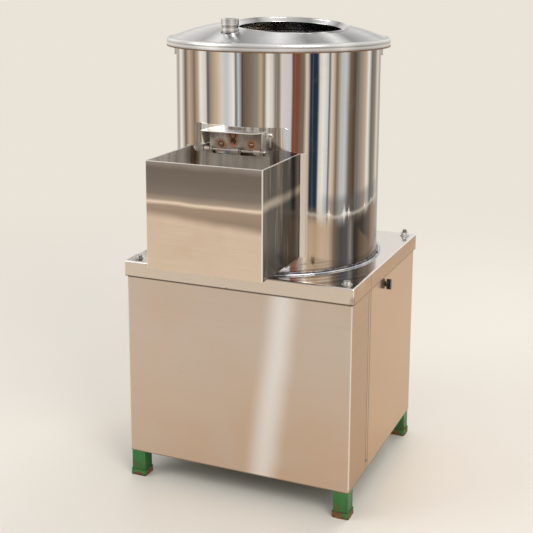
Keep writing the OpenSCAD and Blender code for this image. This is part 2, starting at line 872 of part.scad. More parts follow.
module door_hood() {
    cheek_y = hood_y + hood_corner_r;
    half = hood_w / 2;
    gusset_h = hood_rise * 0.76;
    color("silver") place() {
        off_the_drum() translate([0, 0, hood_z - hood_t]) linear_extrude(hood_t) {
            translate([-half, hood_y]) square([hood_w - hood_corner_r, hood_out * 2]);
            translate([-half, cheek_y]) square([hood_w, hood_out * 2]);
            translate([half - hood_corner_r, cheek_y]) circle(hood_corner_r);
        }
        off_the_drum() difference() {
            translate([half - hood_t, cheek_y, rod_z - knuckle_r])
                cube([hood_t, hood_out, hood_rise + knuckle_r - hood_t]);
            translate([0, rod_y, rod_z]) rotate([0, 90, 0]) cylinder(h = half + over, r = rod_r + rod_fit);
        }
        off_the_drum() translate([-half + hood_t, 0, hood_z - hood_t]) rotate([0, gusset_splay, 0])
            rotate([0, -90, 0]) linear_extrude(hood_t) polygon([
                [0, hood_y], [-gusset_h, hood_y + hood_out * 0.85], [-gusset_h, -drum_r + hood_out],
                [0, -drum_r + hood_out]]);
    }
}

// The grey plate in the hood's shade, its hinge strip and the eyes that hold the rod
module hinge_header() {
    half = hood_w / 2;
    plate_low = rod_z + knuckle_r + frame_fit;
    plate_half = half - hood_t * 3;
    plate_h = hood_z - hood_t - plate_low;
    plate_mid = plate_low + plate_h / 2;
    strip_low = strap_top + frame_fit;
    color("darkgray") place() off_the_drum() difference() {
        union() {
            translate([-plate_half, header_y - frame_plate_t, plate_low])
                cube([plate_half * 2, frame_plate_t, plate_h]);
            for (s = [-1, 1]) {
                translate([s * (plate_half - frame_plate_t / 2), header_y + rod_out / 2, plate_mid])
                    cube([frame_plate_t, rod_out + frame_plate_t * 2, plate_h], center = true);
            }
            translate([-plate_half, header_y - frame_plate_t * 0.2, strip_low])
                cube([plate_half * 2, frame_plate_t, rod_z + knuckle_r * 2 - strip_low]);
            for (e = eye_shares) translate([e[0] * half, rod_y, rod_z]) {
                rotate([0, 90, 0]) cylinder(h = (e[1] - e[0]) * half, r = knuckle_r * 1.12);
                translate([0, 0, -rod_r]) cube([(e[1] - e[0]) * half, rod_out, rod_r * 2]);
            }
            translate([-half - knuckle_r - ear_w, rod_y - knuckle_r, rod_z - knuckle_r])
                cube([ear_w, hood_out, knuckle_r * 2.6]);
        }
        translate([-hood_w, rod_y, rod_z]) rotate([0, 90, 0]) cylinder(h = hood_w * 2, r = rod_r + rod_fit);
        at_header_bolts() cylinder(h = rod_out * 2, r = screw_r + foot_fit, center = true);
    }
}

// Bolt axes in the header plate, pointing to the front
module at_header_bolts() {
    low = rod_z + knuckle_r + screw_head_r;
    for (p = header_bolt_shares) {
        translate([p[0] * hood_w / 2, header_y - frame_plate_t, low + p[1] * hood_rise * 0.75])
            rotate([90, 0, 0]) children();
    }
}

module header_bolts() {
    shank = frame_plate_t * 2;
    color("sienna") place() at_header_bolts() {
        cylinder(h = screw_r * 0.4, r = screw_head_r * 1.3);
        translate([0, 0, screw_r * 0.4]) scale_cap(screw_head_r, screw_r);
        translate([0, 0, -shank]) cylinder(h = shank, r = screw_r);
    }
}

module hinge_rod() {
    right = hood_w / 2 + hood_t * 2;
    color("silver") place() translate([0, rod_y, rod_z]) rotate([0, 90, 0]) {
        translate([0, 0, -ear_end]) cylinder(h = ear_end + right, r = rod_r);
        translate([0, 0, right]) scale_cap(rod_r * 1.5, rod_r);
        translate([0, 0, -ear_end - rod_r]) cylinder(h = rod_r, r = rod_r * 1.6);
    }
}

module discharge_door() {
    half = hood_w / 2;
    color("silver") place() {
        drum_skin(door_in_r, door_t) {
            x_band(door_w / 2, door_low, door_top);
            for (k = knuckle_shares) translate([k[0] * half, door_top - knuckle_r])
                square([(k[1] - k[0]) * half, strap_top - door_top + knuckle_r]);
        }
        difference() {
            for (k = knuckle_shares) {
                translate([k[0] * half, rod_y, rod_z]) rotate([0, 90, 0])
                    cylinder(h = (k[1] - k[0]) * half, r = knuckle_r);
                translate([k[0] * half, rod_y, rod_z - knuckle_r])
                    cube([(k[1] - k[0]) * half, rod_out * 2, door_t]);
            }
            translate([-hood_w, rod_y, rod_z]) rotate([0, 90, 0])
                cylinder(h = hood_w * 2, r = rod_r + rod_fit);
            translate([0, 0, floor_z])
                cylinder(h = drum_h, r = door_in_r + door_t / 2, $fn = round_fn);
        }
    }
}

module door_gasket() {
    lip = door_w / 2 - door_t;
    color("black") place() drum_skin(gasket_in_r, gasket_t - gasket_fit * 2) difference() {
        x_band(lip, door_low + door_t / 2, door_top - door_t / 2);
        x_band(door_open_w / 2 + door_t / 2, sill_z - door_t / 2, sill_z + door_open_h + door_t / 2);
    }
}

// The catch hangs on a pivot that points straight out of the drum
module at_catch() {
    rotate(catch_dir) translate([0, -drum_r - frame_plate_t, catch_z]) rotate([90, 0, 0]) children();
}

module catch_pivot() {
    color("silver") place() at_catch() {
        cylinder(h = frame_fit, r = rod_r * 1.8);
        cylinder(h = catch_cap_z + rod_r * 0.4, r = rod_r * 0.7);
        translate([0, 0, catch_cap_z]) scale_cap(catch_head_r * 0.7, rod_r * 0.8);
    }
}

module drop_catch() {
    color("gainsboro") place() at_catch() translate([0, 0, frame_fit + foot_fit]) difference() {
        union() {
            cylinder(h = catch_t, r = catch_head_r);
            linear_extrude(catch_t) {
                translate([-rod_r * 0.7, -catch_l + rod_r * 0.7]) square([rod_r * 1.4, catch_l]);
                translate([0, -catch_l + rod_r * 0.7]) circle(rod_r * 0.7);
            }
        }
        translate([0, 0, -over]) cylinder(h = catch_t + over * 2, r = rod_r * 0.7 + rod_fit);
    }
}

// Chute box, open at the top and the bottom

module chute_box() {
    back = box_front + drum_r * 2;
    strip_low = box_w / 2 - box_t / 2;
    color("silver") place() {
        difference() {
            translate([0, (box_front + back) / 2, box_z]) union() {
                linear_extrude(box_h) difference() {
                    round_rect(box_w, back - box_front, box_bend_r);
                    round_rect(box_w - box_t * 2, back - box_front - box_t * 2, box_bend_r - box_t);
                }
                translate([0, 0, box_h - box_hem_h]) linear_extrude(box_hem_h) difference() {
                    round_rect(box_w, back - box_front, box_bend_r);
                    round_rect(box_w - box_t * 4, back - box_front - box_t * 4, box_bend_r - box_t);
                }
            }
            translate([0, 0, box_z - over]) cylinder(h = box_h + over * 2, r = drum_r, $fn = round_fn);
            translate([-box_w, -box_back, box_z - over]) cube([box_w * 2, drum_r * 3, box_h + over * 2]);
        }
        drum_skin(drum_r, box_t) for (s = [-1, 1]) {
            translate([s * (strip_low + box_strip_w / 2), box_z + box_h / 2])
                square([box_strip_w, box_h], center = true);
        }
    }
}

module chute_sill() {
    side = box_w / 2 - box_t;
    y0 = -drum_r + sill_l * 0.9;
    y1 = -drum_r - sill_l * 0.75;
    low = sill_top - sill_fall;
    color("silver") place() difference() {
        union() {
            translate([-side, 0, 0]) rotate([90, 0, 90]) linear_extrude(side * 2) polygon([
                [y0, sill_top], [-drum_r, sill_top], [y1, low], [y1, low - box_t],
                [-drum_r, sill_top - box_t], [y0, sill_top - box_t]]);
            for (s = [-1, 1]) translate([s * (side - box_t / 2) - box_t / 2, 0, 0]) rotate([90, 0, 90])
                linear_extrude(box_t) polygon([[y0, sill_top], [-drum_r, sill_top], [y1, low],
                    [y1, low - box_t * 4], [y0, low - box_t * 4]]);
        }
        translate([0, 0, flange_z])
            cylinder(h = drum_h, r = drum_r + frame_plate_t + foot_fit, $fn = round_fn);
    }
}

// Shaft and bearings

module at_bearings() {
    for (z = [bearing_top - bearing_w, bearing_low]) translate([0, 0, z]) children();
}

module bearing_housing() {
    color("slategray") place() difference() {
        union() {
            translate([0, 0, housing_low]) cylinder(h = housing_top - housing_low, r = housing_r);
            translate([0, 0, housing_flange_z]) cylinder(h = housing_flange_t, r = housing_flange_r);
        }
        translate([0, 0, housing_low - over])
            cylinder(h = housing_top - housing_low + over * 2, r = shaft_r * 1.3);
        at_bearings() cylinder(h = bearing_w, r = bearing_r + bearing_fit);
        translate([0, 0, bearing_low - bearing_w])
            cylinder(h = bearing_w + over, r = bearing_r + bearing_fit);
        translate([0, 0, bearing_top - over]) cylinder(h = bearing_w, r = bearing_r + bearing_fit);
        at_housing_bolts() translate([0, 0, housing_flange_z - over])
            cylinder(h = housing_flange_t + over * 2, r = bolt_r + foot_fit);
    }
}

module housing_bolts() {
    grip = housing_flange_t + carrier_t;
    color("gray") place() translate([0, 0, housing_flange_z]) at_housing_bolts() {
        translate([0, 0, -bolt_head_h]) hex_prism(bolt_af, bolt_head_h);
        cylinder(h = grip, r = bolt_r);
        translate([0, 0, grip]) hex_prism(bolt_af, bolt_head_h);
    }
}

module race(r_in, r_out) {
    difference() {
        pipe(bearing_w, r_out, r_in);
        translate([0, 0, bearing_w / 2]) rotate_extrude()
            translate([race_mid_r, 0]) circle(ball_r + bearing_fit);
    }
}

module bearing_outer_rings() {
    color("lightgray") place() at_bearings() race(bearing_r - race_wall, bearing_r);
}

module bearing_inner_rings() {
    color("lightgray") place() at_bearings() race(shaft_r, shaft_r + race_wall);
}

module bearing_balls() {
    color("white") place() at_bearings() for (i = [0 : ball_count - 1]) {
        rotate(360 / ball_count * i) translate([race_mid_r, 0, bearing_w / 2]) sphere(ball_r);
    }
}

// Lip seal that stands on the drum floor round the shaft
module shaft_seal() {
    lip = shaft_r + bearing_fit * 2;
    neck = shaft_r * 1.5;
    foot = shaft_r * 2.4;
    color("black") place() translate([0, 0, floor_z + floor_t]) rotate_extrude() polygon([
        [lip, 0], [foot, 0], [foot, bearing_w / 4], [neck, bearing_w / 4], [neck, seal_h], [lip, seal_h]]);
}

module main_shaft() {
    low = pulley_mid_z - pulley_hub_h / 2 - bearing_w / 2;
    top = table_top + bearing_w / 2;
    seat_r = shaft_r - bearing_fit;
    collar = shaft_r * 1.15;
    seat_low = housing_low - bearing_w / 4;
    collar_low = bearing_low + bearing_w;
    collar_top = bearing_top - bearing_w;
    color("lightgray") place() rotate_extrude() polygon([
        [0, low], [neck_r, low], [neck_r, seat_low], [seat_r, seat_low], [seat_r, collar_low],
        [collar, collar_low], [collar, collar_top], [seat_r, collar_top], [seat_r, hub_low],
        [neck_r, hub_low], [neck_r, top], [0, top]]);
}

// Section of a pulley: rim with a V groove, web and hub, turned round its own axis
module pulley(r, bore, hub_outer, web_t) {
    groove_top = belt_w / 2 + belt_fit;
    groove_deep = belt_t + belt_fit * 4;
    groove_low = groove_top - groove_deep * tan(belt_angle);
    rim_in = r - groove_deep * 1.6;
    rotate_extrude($fn = 144) difference() {
        union() {
            translate([rim_in, -pulley_w / 2]) square([r - rim_in, pulley_w]);
            translate([bore, -web_t / 2]) square([r - bore - groove_deep * 1.2, web_t]);
            translate([bore, -pulley_hub_h / 2]) square([hub_outer - bore, pulley_hub_h]);
        }
        polygon([[r + over, groove_top + over * tan(belt_angle)], [r - groove_deep, groove_low],
            [r - groove_deep, -groove_low], [r + over, -groove_top - over * tan(belt_angle)]]);
    }
}

module driven_pulley() {
    web_mid_r = (big_pulley_r + shaft_r * 1.9) / 2;
    color("darkslategray") place() translate([0, 0, pulley_mid_z]) difference() {
        pulley(big_pulley_r, neck_r + bearing_fit, shaft_r * 1.9, pulley_w / 3);
        for (i = [0 : web_hole_count - 1]) rotate(360 / web_hole_count * i)
            translate([web_mid_r * 0.92, 0, 0]) cylinder(h = pulley_w, r = shaft_r * 1.3, center = true);
    }
}

module motor_pulley() {
    color("darkslategray") place() translate([motor_x, motor_y, pulley_mid_z])
        pulley(small_pulley_r, motor_shaft_r + bearing_fit, motor_shaft_r * 1.6, pulley_w);
}

module belt_section(r) {
    half_out = belt_w / 2;
    half_in = half_out - belt_t * tan(belt_angle);
    polygon([[r, half_out], [r - belt_t, half_in], [r - belt_t, -half_in], [r, -half_out]]);
}

// Two arcs round the pulleys joined by two straight runs, in the belt's own plane
module v_belt() {
    run_l = drive_l * cos(belt_lean);
    color("black") place() translate([0, 0, pulley_mid_z]) rotate(drive_dir) {
        rotate(90 - belt_lean) rotate_extrude(angle = 180 + belt_lean * 2, $fn = 144)
            belt_section(belt_out_big);
        translate([drive_l, 0, 0]) rotate(-90 + belt_lean)
            rotate_extrude(angle = 180 - belt_lean * 2, $fn = 144) belt_section(belt_out_small);
        for (s = [-1, 1]) rotate(s * (90 - belt_lean)) translate([0, s * belt_fit, 0]) rotate([s * 90, 0, 0])
            linear_extrude(run_l + belt_fit * 2) belt_section(belt_out_big);
    }
}

module turntable_disc() {
    color("gray") place() difference() {
        union() {
            translate([0, 0, table_z]) cylinder(h = table_t, r = table_r - table_gap, $fn = round_fn);
            translate([0, 0, hub_low]) cylinder(h = table_top - hub_low, r = hub_r);
            for (s = [0, 180]) rotate(s) translate([hub_r - over, -sweep_t / 2, table_z - sweep_h])
                cube([table_r - hub_r - table_gap * 2, sweep_t, sweep_h + over]);
        }
        translate([0, 0, hub_low - over]) cylinder(h = table_top, r = neck_r + bearing_fit);
    }
}

// Abrasive top with low rounded waves that throw the potatoes about
module turntable_grit() {
    wave_drop = wave_r - wave_h;
    full_h = grit_t + wave_h + over;
    color("darkgray") place() difference() {
        union() {
            translate([0, 0, grit_z]) cylinder(h = grit_t, r = table_r, $fn = round_fn);
            intersection() {
                translate([0, 0, grit_z]) cylinder(h = full_h, r = table_r - table_gap, $fn = round_fn);
                for (i = [0 : wave_count - 1]) rotate(360 / wave_count * i + wave_turn)
                    translate([hub_r, 0, table_top - wave_drop]) rotate([0, 90, 0])
                        cylinder(h = table_r, r = wave_r);
            }
        }
        translate([0, 0, grit_z - over]) cylinder(h = full_h + over * 2, r = hub_r + foot_fit);
    }
}

module hub_nut() {
    color("silver") place() translate([0, 0, table_top]) difference() {
        union() {
            cylinder(h = hub_nut_h * 0.4, r = hub_r * 0.8);
            translate([0, 0, hub_nut_h * 0.4]) scale_cap(hub_r * 0.62, hub_nut_h * 0.6);
        }
        translate([0, 0, -over])
            cylinder(h = bearing_w / 2 + over + foot_fit, r = neck_r + bearing_fit);
    }
}

// Motor, hung under its cradle with the shaft pointing up

module motor() {
    body_top = cradle_top - cradle_t;
    flange = motor_r + fin_h * 0.6;
    color("steelblue") place() translate([motor_x, motor_y, 0]) difference() {
        union() {
            translate([0, 0, body_top - motor_flange_t]) linear_extrude(motor_flange_t)
                round_rect(flange * 2, flange * 2, fin_h * 2);
            translate([0, 0, body_top - motor_l]) linear_extrude(motor_l - motor_flange_t) {
                circle(motor_r - fin_h);
                for (i = [0 : fin_count - 1]) rotate(360 / fin_count * i) translate([motor_r / 2, 0])
                    square([motor_r, fin_h * 0.35], center = true);
            }
            translate([0, 0, body_top - motor_l - motor_r * 0.5])
                cylinder(h = motor_r * 0.5 + over, r = motor_r);
            translate([-motor_r * 1.35, -motor_r * 0.45, body_top - motor_l * 0.62])
                cube([motor_r, motor_r * 0.9, motor_l * 0.4]);
        }
        translate([0, 0, body_top - motor_l / 3]) cylinder(h = motor_l, r = motor_shaft_r + bearing_fit * 2);
        at_motor_bolts() translate([0, 0, body_top - motor_flange_t - over])
            cylinder(h = motor_flange_t + over * 2, r = bolt_r + foot_fit);
    }
}

module at_motor_bolts() {
    reach = motor_r - fin_h * 0.4;
    for (x = [-1, 1], y = [-1, 1]) translate([x * reach, y * reach, 0]) children();
}

// A folded plate that hangs from the rear and right-hand upper rails
module motor_cradle() {
    wall_h = panel_top - cradle_top;
    right = frame_x - rail_w;
    rear = frame_y - rail_w;
    wall_front = beam_y + leg_w / 2 + tongue_gap;
    leg_gap = frame_fit * 2;
    notch = leg_w + leg_gap * 2;
    color("seagreen") place() {
        translate([0, 0, cradle_top - cradle_t]) difference() {
            translate([cradle_left, cradle_front, 0])
                cube([right - cradle_left, rear - cradle_front, cradle_t]);
            translate([leg_x, leg_y, cradle_t / 2]) cube([notch, notch, cradle_t * 2], center = true);
            translate([motor_x, motor_y, -over]) {
                cylinder(h = cradle_t + over * 2, r = motor_shaft_r * 1.6);
                at_motor_bolts() slot(cradle_t + over * 2);
            }
        }
        translate([right - cradle_t, wall_front, cradle_top - over])
            cube([cradle_t, leg_y - leg_w / 2 - leg_gap - wall_front, wall_h + over]);
        translate([cradle_left, rear - cradle_t, cradle_top - over])
            cube([leg_x - leg_w / 2 - leg_gap - cradle_left, cradle_t, wall_h + over]);
    }
}

// A slot for tensioning the belt, along the line to the shaft
module slot(h) {
    travel = bolt_r * 1.6;
    rotate(drive_dir) {
        for (s = [-1, 1]) translate([s * travel / 2, 0, 0]) cylinder(h = h, r = bolt_r + foot_fit);
        translate([0, 0, h / 2]) cube([travel, (bolt_r + foot_fit) * 2, h], center = true);
    }
}

module motor_bolts() {
    grip = cradle_t + motor_flange_t;
    head = bolt_head_h * 0.8;
    color("lightgray") place() translate([motor_x, motor_y, cradle_top]) at_motor_bolts() {
        hex_prism(bolt_af * 0.88, head);
        translate([0, 0, -grip]) cylinder(h = grip, r = bolt_r);
        translate([0, 0, -grip - head]) hex_prism(bolt_af * 0.88, head);
    }
}

module motor_shaft() {
    low = cradle_top - cradle_t - motor_l / 3;
    color("lightgray") place() translate([motor_x, motor_y, low])
        cylinder(h = pulley_mid_z + pulley_hub_h * 0.6 - low, r = motor_shaft_r);
}

// Switch, cable gland and drain

// The switch axis, pointing out of the right-hand panel
module at_switch() {
    translate([panel_x, 0, knob_z]) rotate([0, 90, 0]) children();
}

module switch_body() {
    color("dimgray") place() at_switch() difference() {
        union() {
            translate([0, 0, -panel_t - switch_d]) linear_extrude(switch_d)
                round_rect(switch_w, switch_w, spindle_r);
            translate([0, 0, -panel_t - over]) cylinder(h = panel_t + over + bush_l, r = bush_r);
        }
        translate([0, 0, -switch_d]) cylinder(h = switch_d * 2, r = spindle_r + rod_fit);
    }
}

module switch_spindle() {
    color("lightgray") place() at_switch() translate([0, 0, rod_fit - switch_d])
        cylinder(h = switch_d + knob_out * 0.7, r = spindle_r);
}

module switch_knob() {
    skirt = knob_out * 0.4;
    low = bush_l + knob_gap;
    color("black") place() at_switch() difference() {
        union() {
            translate([0, 0, low]) cylinder(h = skirt - low, r1 = knob_r, r2 = knob_r * 0.92);
            translate([0, 0, low]) linear_extrude(knob_out - low)
                round_rect(knob_bar_l, knob_bar_w, knob_bar_w * 0.35);
        }
        translate([0, 0, low - over])
            cylinder(h = knob_out * 0.7 - low + over + foot_fit, r = spindle_r + bearing_fit);
        translate([0, 0, knob_out - screw_pocket]) cylinder(h = knob_out, r = screw_head_r + foot_fit);
    }
}

module knob_screw() {
    color("lightgray") place() at_switch() translate([0, 0, knob_out - screw_pocket])
        scale_cap(screw_head_r, screw_pocket);
}

module cable_gland() {
    nut = gland_r * 2.3;
    inside = -panel_t - gland_r * 0.5;
    color("black") place() translate([gland_x, panel_y, gland_z]) rotate([-90, 0, 0]) difference() {
        union() {
            hex_prism(nut, gland_r * 0.5);
            translate([0, 0, gland_r * 0.5]) cylinder(h = gland_r * 0.5, r = gland_r * 0.95);
            translate([0, 0, gland_r]) cylinder(h = gland_r * 0.9, r1 = gland_r, r2 = gland_r * 0.75);
            translate([0, 0, inside]) cylinder(h = over - inside, r = gland_r);
            translate([0, 0, inside]) hex_prism(nut, gland_r * 0.5);
        }
        translate([0, 0, -gland_r * 2]) cylinder(h = gland_r * 5, r = gland_r * 0.5);
    }
}

// Drain from the drum floor, down through the tray and out at the back
module drain_pipe() {
    low = drain_z + drain_bend_r;
    run = drain_end - drain_y - drain_bend_r;
    color("gray") place() translate([-drain_x, drain_y, 0]) {
        translate([0, 0, low]) pipe(floor_z + floor_t / 2 - low, drain_r, drain_r - drain_wall);
        translate([0, drain_bend_r, low]) rotate([90, 0, 90]) rotate(180) rotate_extrude(angle = 90)
            translate([drain_bend_r, 0]) difference() {
                circle(drain_r);
                circle(drain_r - drain_wall);
            }
        translate([0, drain_bend_r, drain_z]) rotate([-90, 0, 0]) pipe(run, drain_r, drain_r - drain_wall);
        translate([0, panel_y - drain_y, drain_z]) rotate([-90, 0, 0])
            pipe(drain_wall * 1.5, drain_r + drain_wall * 2, drain_r - drain_wall);
    }
}

// Lid

function dome_point(a, b, t) = [a * sin(t), lid_top - dome_b * cos(dome_end) + b * cos(t)];
function nose_point(r, t) = [lid_r - lid_nose_r + r * sin(t), lid_top - lid_nose_r + r * cos(t)];

// Dome, flat rim and rounded nose in one outline, down over the drum's bead
module lid_section() {
    rim_low = lid_top - lid_rim_h;
    nose_in = lid_nose_r - lid_t;
    outer = [for (i = [0 : dome_steps]) dome_point(dome_a, dome_b, dome_end * i / dome_steps)];
    nose = [for (i = [0 : nose_steps]) nose_point(lid_nose_r, 90 * i / nose_steps)];
    lip = [[lid_r, rim_low], [lid_r - lid_t, rim_low]];
    under_nose = [for (i = [nose_steps : -1 : 0]) nose_point(nose_in, 90 * i / nose_steps)];
    inner = [for (i = [dome_steps : -1 : 0])
        dome_point(dome_a - lid_t, dome_b - lid_t, dome_end * i / dome_steps)];
    polygon(concat(outer, nose, lip, under_nose, [[dome_r - lid_t, lid_low]], inner));
}

module at_collar() {
    translate([collar_x, -collar_y, collar_z]) rotate([0, collar_tilt, -collar_turn]) children();
}

module lid_dome() {
    color("gainsboro") place() difference() {
        rotate_extrude($fn = round_fn) lid_section();
        at_collar() translate([0, 0, -dome_rise])
            cylinder(h = dome_rise * 2, r = collar_r + collar_fit, $fn = round_fn);
        translate([-inlet_x, -inlet_y, lid_low])
            cylinder(h = dome_rise * 2, r = inlet_r - inlet_groove + collar_fit);
    }
}

module lid_edging() {
    color("saddlebrown") place() translate([0, 0, lid_top - lid_rim_h - edging_h])
        pipe(edging_h, lid_r + foot_fit, lid_r - lid_t - foot_fit, $fn = round_fn);
}

module feed_collar() {
    deep = dome_rise * 0.28;
    bead_mid = collar_r - collar_bead_r;
    lip_t = lid_t * 0.8;
    color("gainsboro") place() at_collar() rotate_extrude($fn = round_fn) {
        translate([collar_r - lid_t, -deep]) square([lid_t, deep]);
        translate([bead_mid, 0]) circle(collar_bead_r);
        polygon([[bead_mid, collar_bead_r * 0.9], [feed_r + lip_t, lip_t * 0.8 - feed_dish],
            [feed_r + lip_t, -lip_t - feed_dish], [bead_mid, -collar_bead_r * 0.9]]);
        translate([feed_r + lip_t, -feed_dish]) circle(lip_t);
    }
}

module water_inlet() {
    down = inlet_neck_h * 0.6;
    bore_h = down + inlet_neck_h + inlet_socket_h + over * 2;
    color("lightgray") place() translate([-inlet_x, -inlet_y, inlet_z]) difference() {
        union() {
            translate([0, 0, -down]) cylinder(h = down + inlet_neck_h, r = inlet_r - inlet_groove);
            translate([0, 0, inlet_neck_h - inlet_groove]) cylinder(h = inlet_socket_h, r = inlet_r);
        }
        translate([0, 0, -down - over]) cylinder(h = bore_h, r = inlet_bore_r);
    }
}

legs();
foot_caps();
frame_rails();
cross_beams();
carrier_plate();
front_cover();
left_panel();
right_panel();
back_panel();
top_tray();
tray_bolts();
panel_screws();
drum_shell();
drum_flange();
flange_bolts();
drum_floor();
drum_liner();
rim_clips();
door_frame();
door_hood();
hinge_header();
header_bolts();
hinge_rod();
chute_box();
chute_sill();
bearing_housing();
housing_bolts();
bearing_outer_rings();
bearing_balls();
bearing_inner_rings();
shaft_seal();
main_shaft();
driven_pulley();
turntable_disc();
turntable_grit();
hub_nut();
v_belt();
motor();
motor_cradle();
motor_bolts();
motor_shaft();
motor_pulley();
switch_body();
switch_spindle();
switch_knob();
knob_screw();
cable_gland();
drain_pipe();
lid_dome();
lid_edging();
feed_collar();
water_inlet();
discharge_door();
door_gasket();
drop_catch();
catch_pivot();
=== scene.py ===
import math

import bmesh
import bpy
from mathutils import Matrix, Vector


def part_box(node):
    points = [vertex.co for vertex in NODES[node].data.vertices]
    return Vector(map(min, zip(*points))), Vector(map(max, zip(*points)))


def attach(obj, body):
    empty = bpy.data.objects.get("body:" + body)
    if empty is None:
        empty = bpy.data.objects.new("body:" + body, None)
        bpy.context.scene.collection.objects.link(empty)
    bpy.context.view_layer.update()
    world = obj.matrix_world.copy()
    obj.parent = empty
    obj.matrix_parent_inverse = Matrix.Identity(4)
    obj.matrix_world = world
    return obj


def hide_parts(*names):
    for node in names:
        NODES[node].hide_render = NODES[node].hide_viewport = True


bl_info = {
    "name": "Potato Peeler Finish",
    "version": (1, 0, 0),
    "blender": (4, 5, 0),
    "location": "View3D > Sidebar > Peeler",
    "description": "Steel, paint and abrasive finishes, welds, louvres and a studio for the potato peeler",
    "category": "Object",
}

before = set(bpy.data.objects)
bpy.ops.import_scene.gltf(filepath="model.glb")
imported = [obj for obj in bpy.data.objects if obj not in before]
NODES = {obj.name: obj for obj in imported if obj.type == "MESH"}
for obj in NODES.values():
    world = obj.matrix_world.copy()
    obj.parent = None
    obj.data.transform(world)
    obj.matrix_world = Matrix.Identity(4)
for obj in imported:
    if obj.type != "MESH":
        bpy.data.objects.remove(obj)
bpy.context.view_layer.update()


def centre_of(name):
    """The middle of a node's box, seen from above."""
    low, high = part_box(name)
    return (low.x + high.x) / 2, (low.y + high.y) / 2


def half_width(name):
    """Half the width of a node's box."""
    low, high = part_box(name)
    return (high.x - low.x) / 2


# Places on the CAD nodes that the finishes and the pieces share, in metres

# Millimetres in a metre, a length too small to see, how far the flange reaches past the drum, the width
# of a leg, the thickness of the chute box and of the water inlet, and the radius of a header bolt's head
MM = 1000.0
HAIR = 0.00001
FLANGE_REACH = 0.011
LEG_TUBE = 0.038
BOX_WALL = 0.0015
NECK_WALL = 0.0015
HEAD_R = 0.0052

AXIS_X, AXIS_Y = centre_of("drum_flange")
DRUM_R = half_width("drum_flange") - FLANGE_REACH
LEGS_LOW, LEGS_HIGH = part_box("legs")
LEG_X = (LEGS_HIGH.x - LEGS_LOW.x) / 2 - LEG_TUBE / 2
LEG_Y = (LEGS_HIGH.y - LEGS_LOW.y) / 2 - LEG_TUBE / 2
INLET_NECK = half_width("water_inlet") - NECK_WALL
BOX_HALF = half_width("chute_sill") + BOX_WALL
TRAY_LOW, TRAY_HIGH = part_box("top_tray")
SEAM_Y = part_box("front_cover")[1].y
BOLTS_LOW, BOLTS_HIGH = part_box("header_bolts")
BOLT_PLACES = (
    (BOLTS_LOW.x + HEAD_R, BOLTS_LOW.z + HEAD_R),
    (BOLTS_HIGH.x - HEAD_R, BOLTS_LOW.z + HEAD_R * 1.4),
    (AXIS_X - 0.0058, BOLTS_HIGH.z - HEAD_R),
    (AXIS_X - 0.005, BOLTS_LOW.z + HEAD_R * 2.4),
)


def shade(red, green, blue):
    """A colour picker's 0 to 255 values as the linear colour that shaders use."""
    parts = []
    for value in (red, green, blue):
        v = value / 255
        parts.append(v / 12.92 if v <= 0.04045 else ((v + 0.055) / 1.055) ** 2.4)
    return tuple(parts)


def toned(colour, share, lift=0.0, most=1.0):
    """A colour made darker or lighter: times share, plus lift, and held below most."""
    return tuple(min(part * share + lift, most) for part in colour)


WHITE, PALE, SILVER = shade(250, 250, 249), shade(228, 224, 220), shade(206, 206, 206)
COOL, SLATE, GREY = shade(206, 216, 230), shade(88, 94, 100), shade(150, 145, 140)
WARM, TAUPE, UMBER = shade(206, 184, 162), shade(128, 112, 98), shade(84, 70, 58)
DARK, NAVY, RUST = shade(38, 32, 28), shade(36, 54, 76), shade(130, 82, 66)
LILAC = shade(224, 218, 226)


# Shader building


class Socket:
    """A shader node's output. Arithmetic on it adds Math nodes."""

    def __init__(self, shader, output):
        self.shader = shader
        self.output = output

    def math(self, operation, *others, clamp=False):
        values = {i + 1: v for i, v in enumerate(others)}
        values[0] = self
        return self.shader.node("ShaderNodeMath", {"operation": operation, "use_clamp": clamp}, values)

    def _flipped(self, operation, other):
        return self.shader.node("ShaderNodeMath", {"operation": operation}, {0: other, 1: self})

    def __add__(self, other):
        return self.math("ADD", other)

    __radd__ = __add__

    def __mul__(self, other):
        return self.math("MULTIPLY", other)

    __rmul__ = __mul__

    def __sub__(self, other):
        return self.math("SUBTRACT", other)

    def __rsub__(self, other):
        return self._flipped("SUBTRACT", other)

    def __truediv__(self, other):
        return self.math("DIVIDE", other)

    def __rtruediv__(self, other):
        return self._flipped("DIVIDE", other)

    def __neg__(self):
        return self.math("MULTIPLY", -1.0)

    def __abs__(self):
        return self.math("ABSOLUTE")

    def __pow__(self, other):
        return self.math("POWER", other)

    def __rpow__(self, other):
        return self._flipped("POWER", other)

    def least(self, other):
        return self.math("MINIMUM", other)

    def most(self, other):
        return self.math("MAXIMUM", other)

    def held(self):
        """Kept between 0 and 1."""
        return self.math("ADD", 0.0, clamp=True)

    def wrapped(self, low, high):
        """Brought round into the run from low to high, as degrees round a circle are."""
        return self.math("WRAP", high, low)

    def step(self, low, high):
        """0 below low, 1 above high, and a smooth rise between them. With low above high it falls."""
        down = low > high
        found = self.shader.node(
            "ShaderNodeMapRange",
            {"interpolation_type": "SMOOTHSTEP"},
            {"Value": self, "From Min": min(low, high), "From Max": max(low, high)},
        )
        return 1.0 - found if down else found


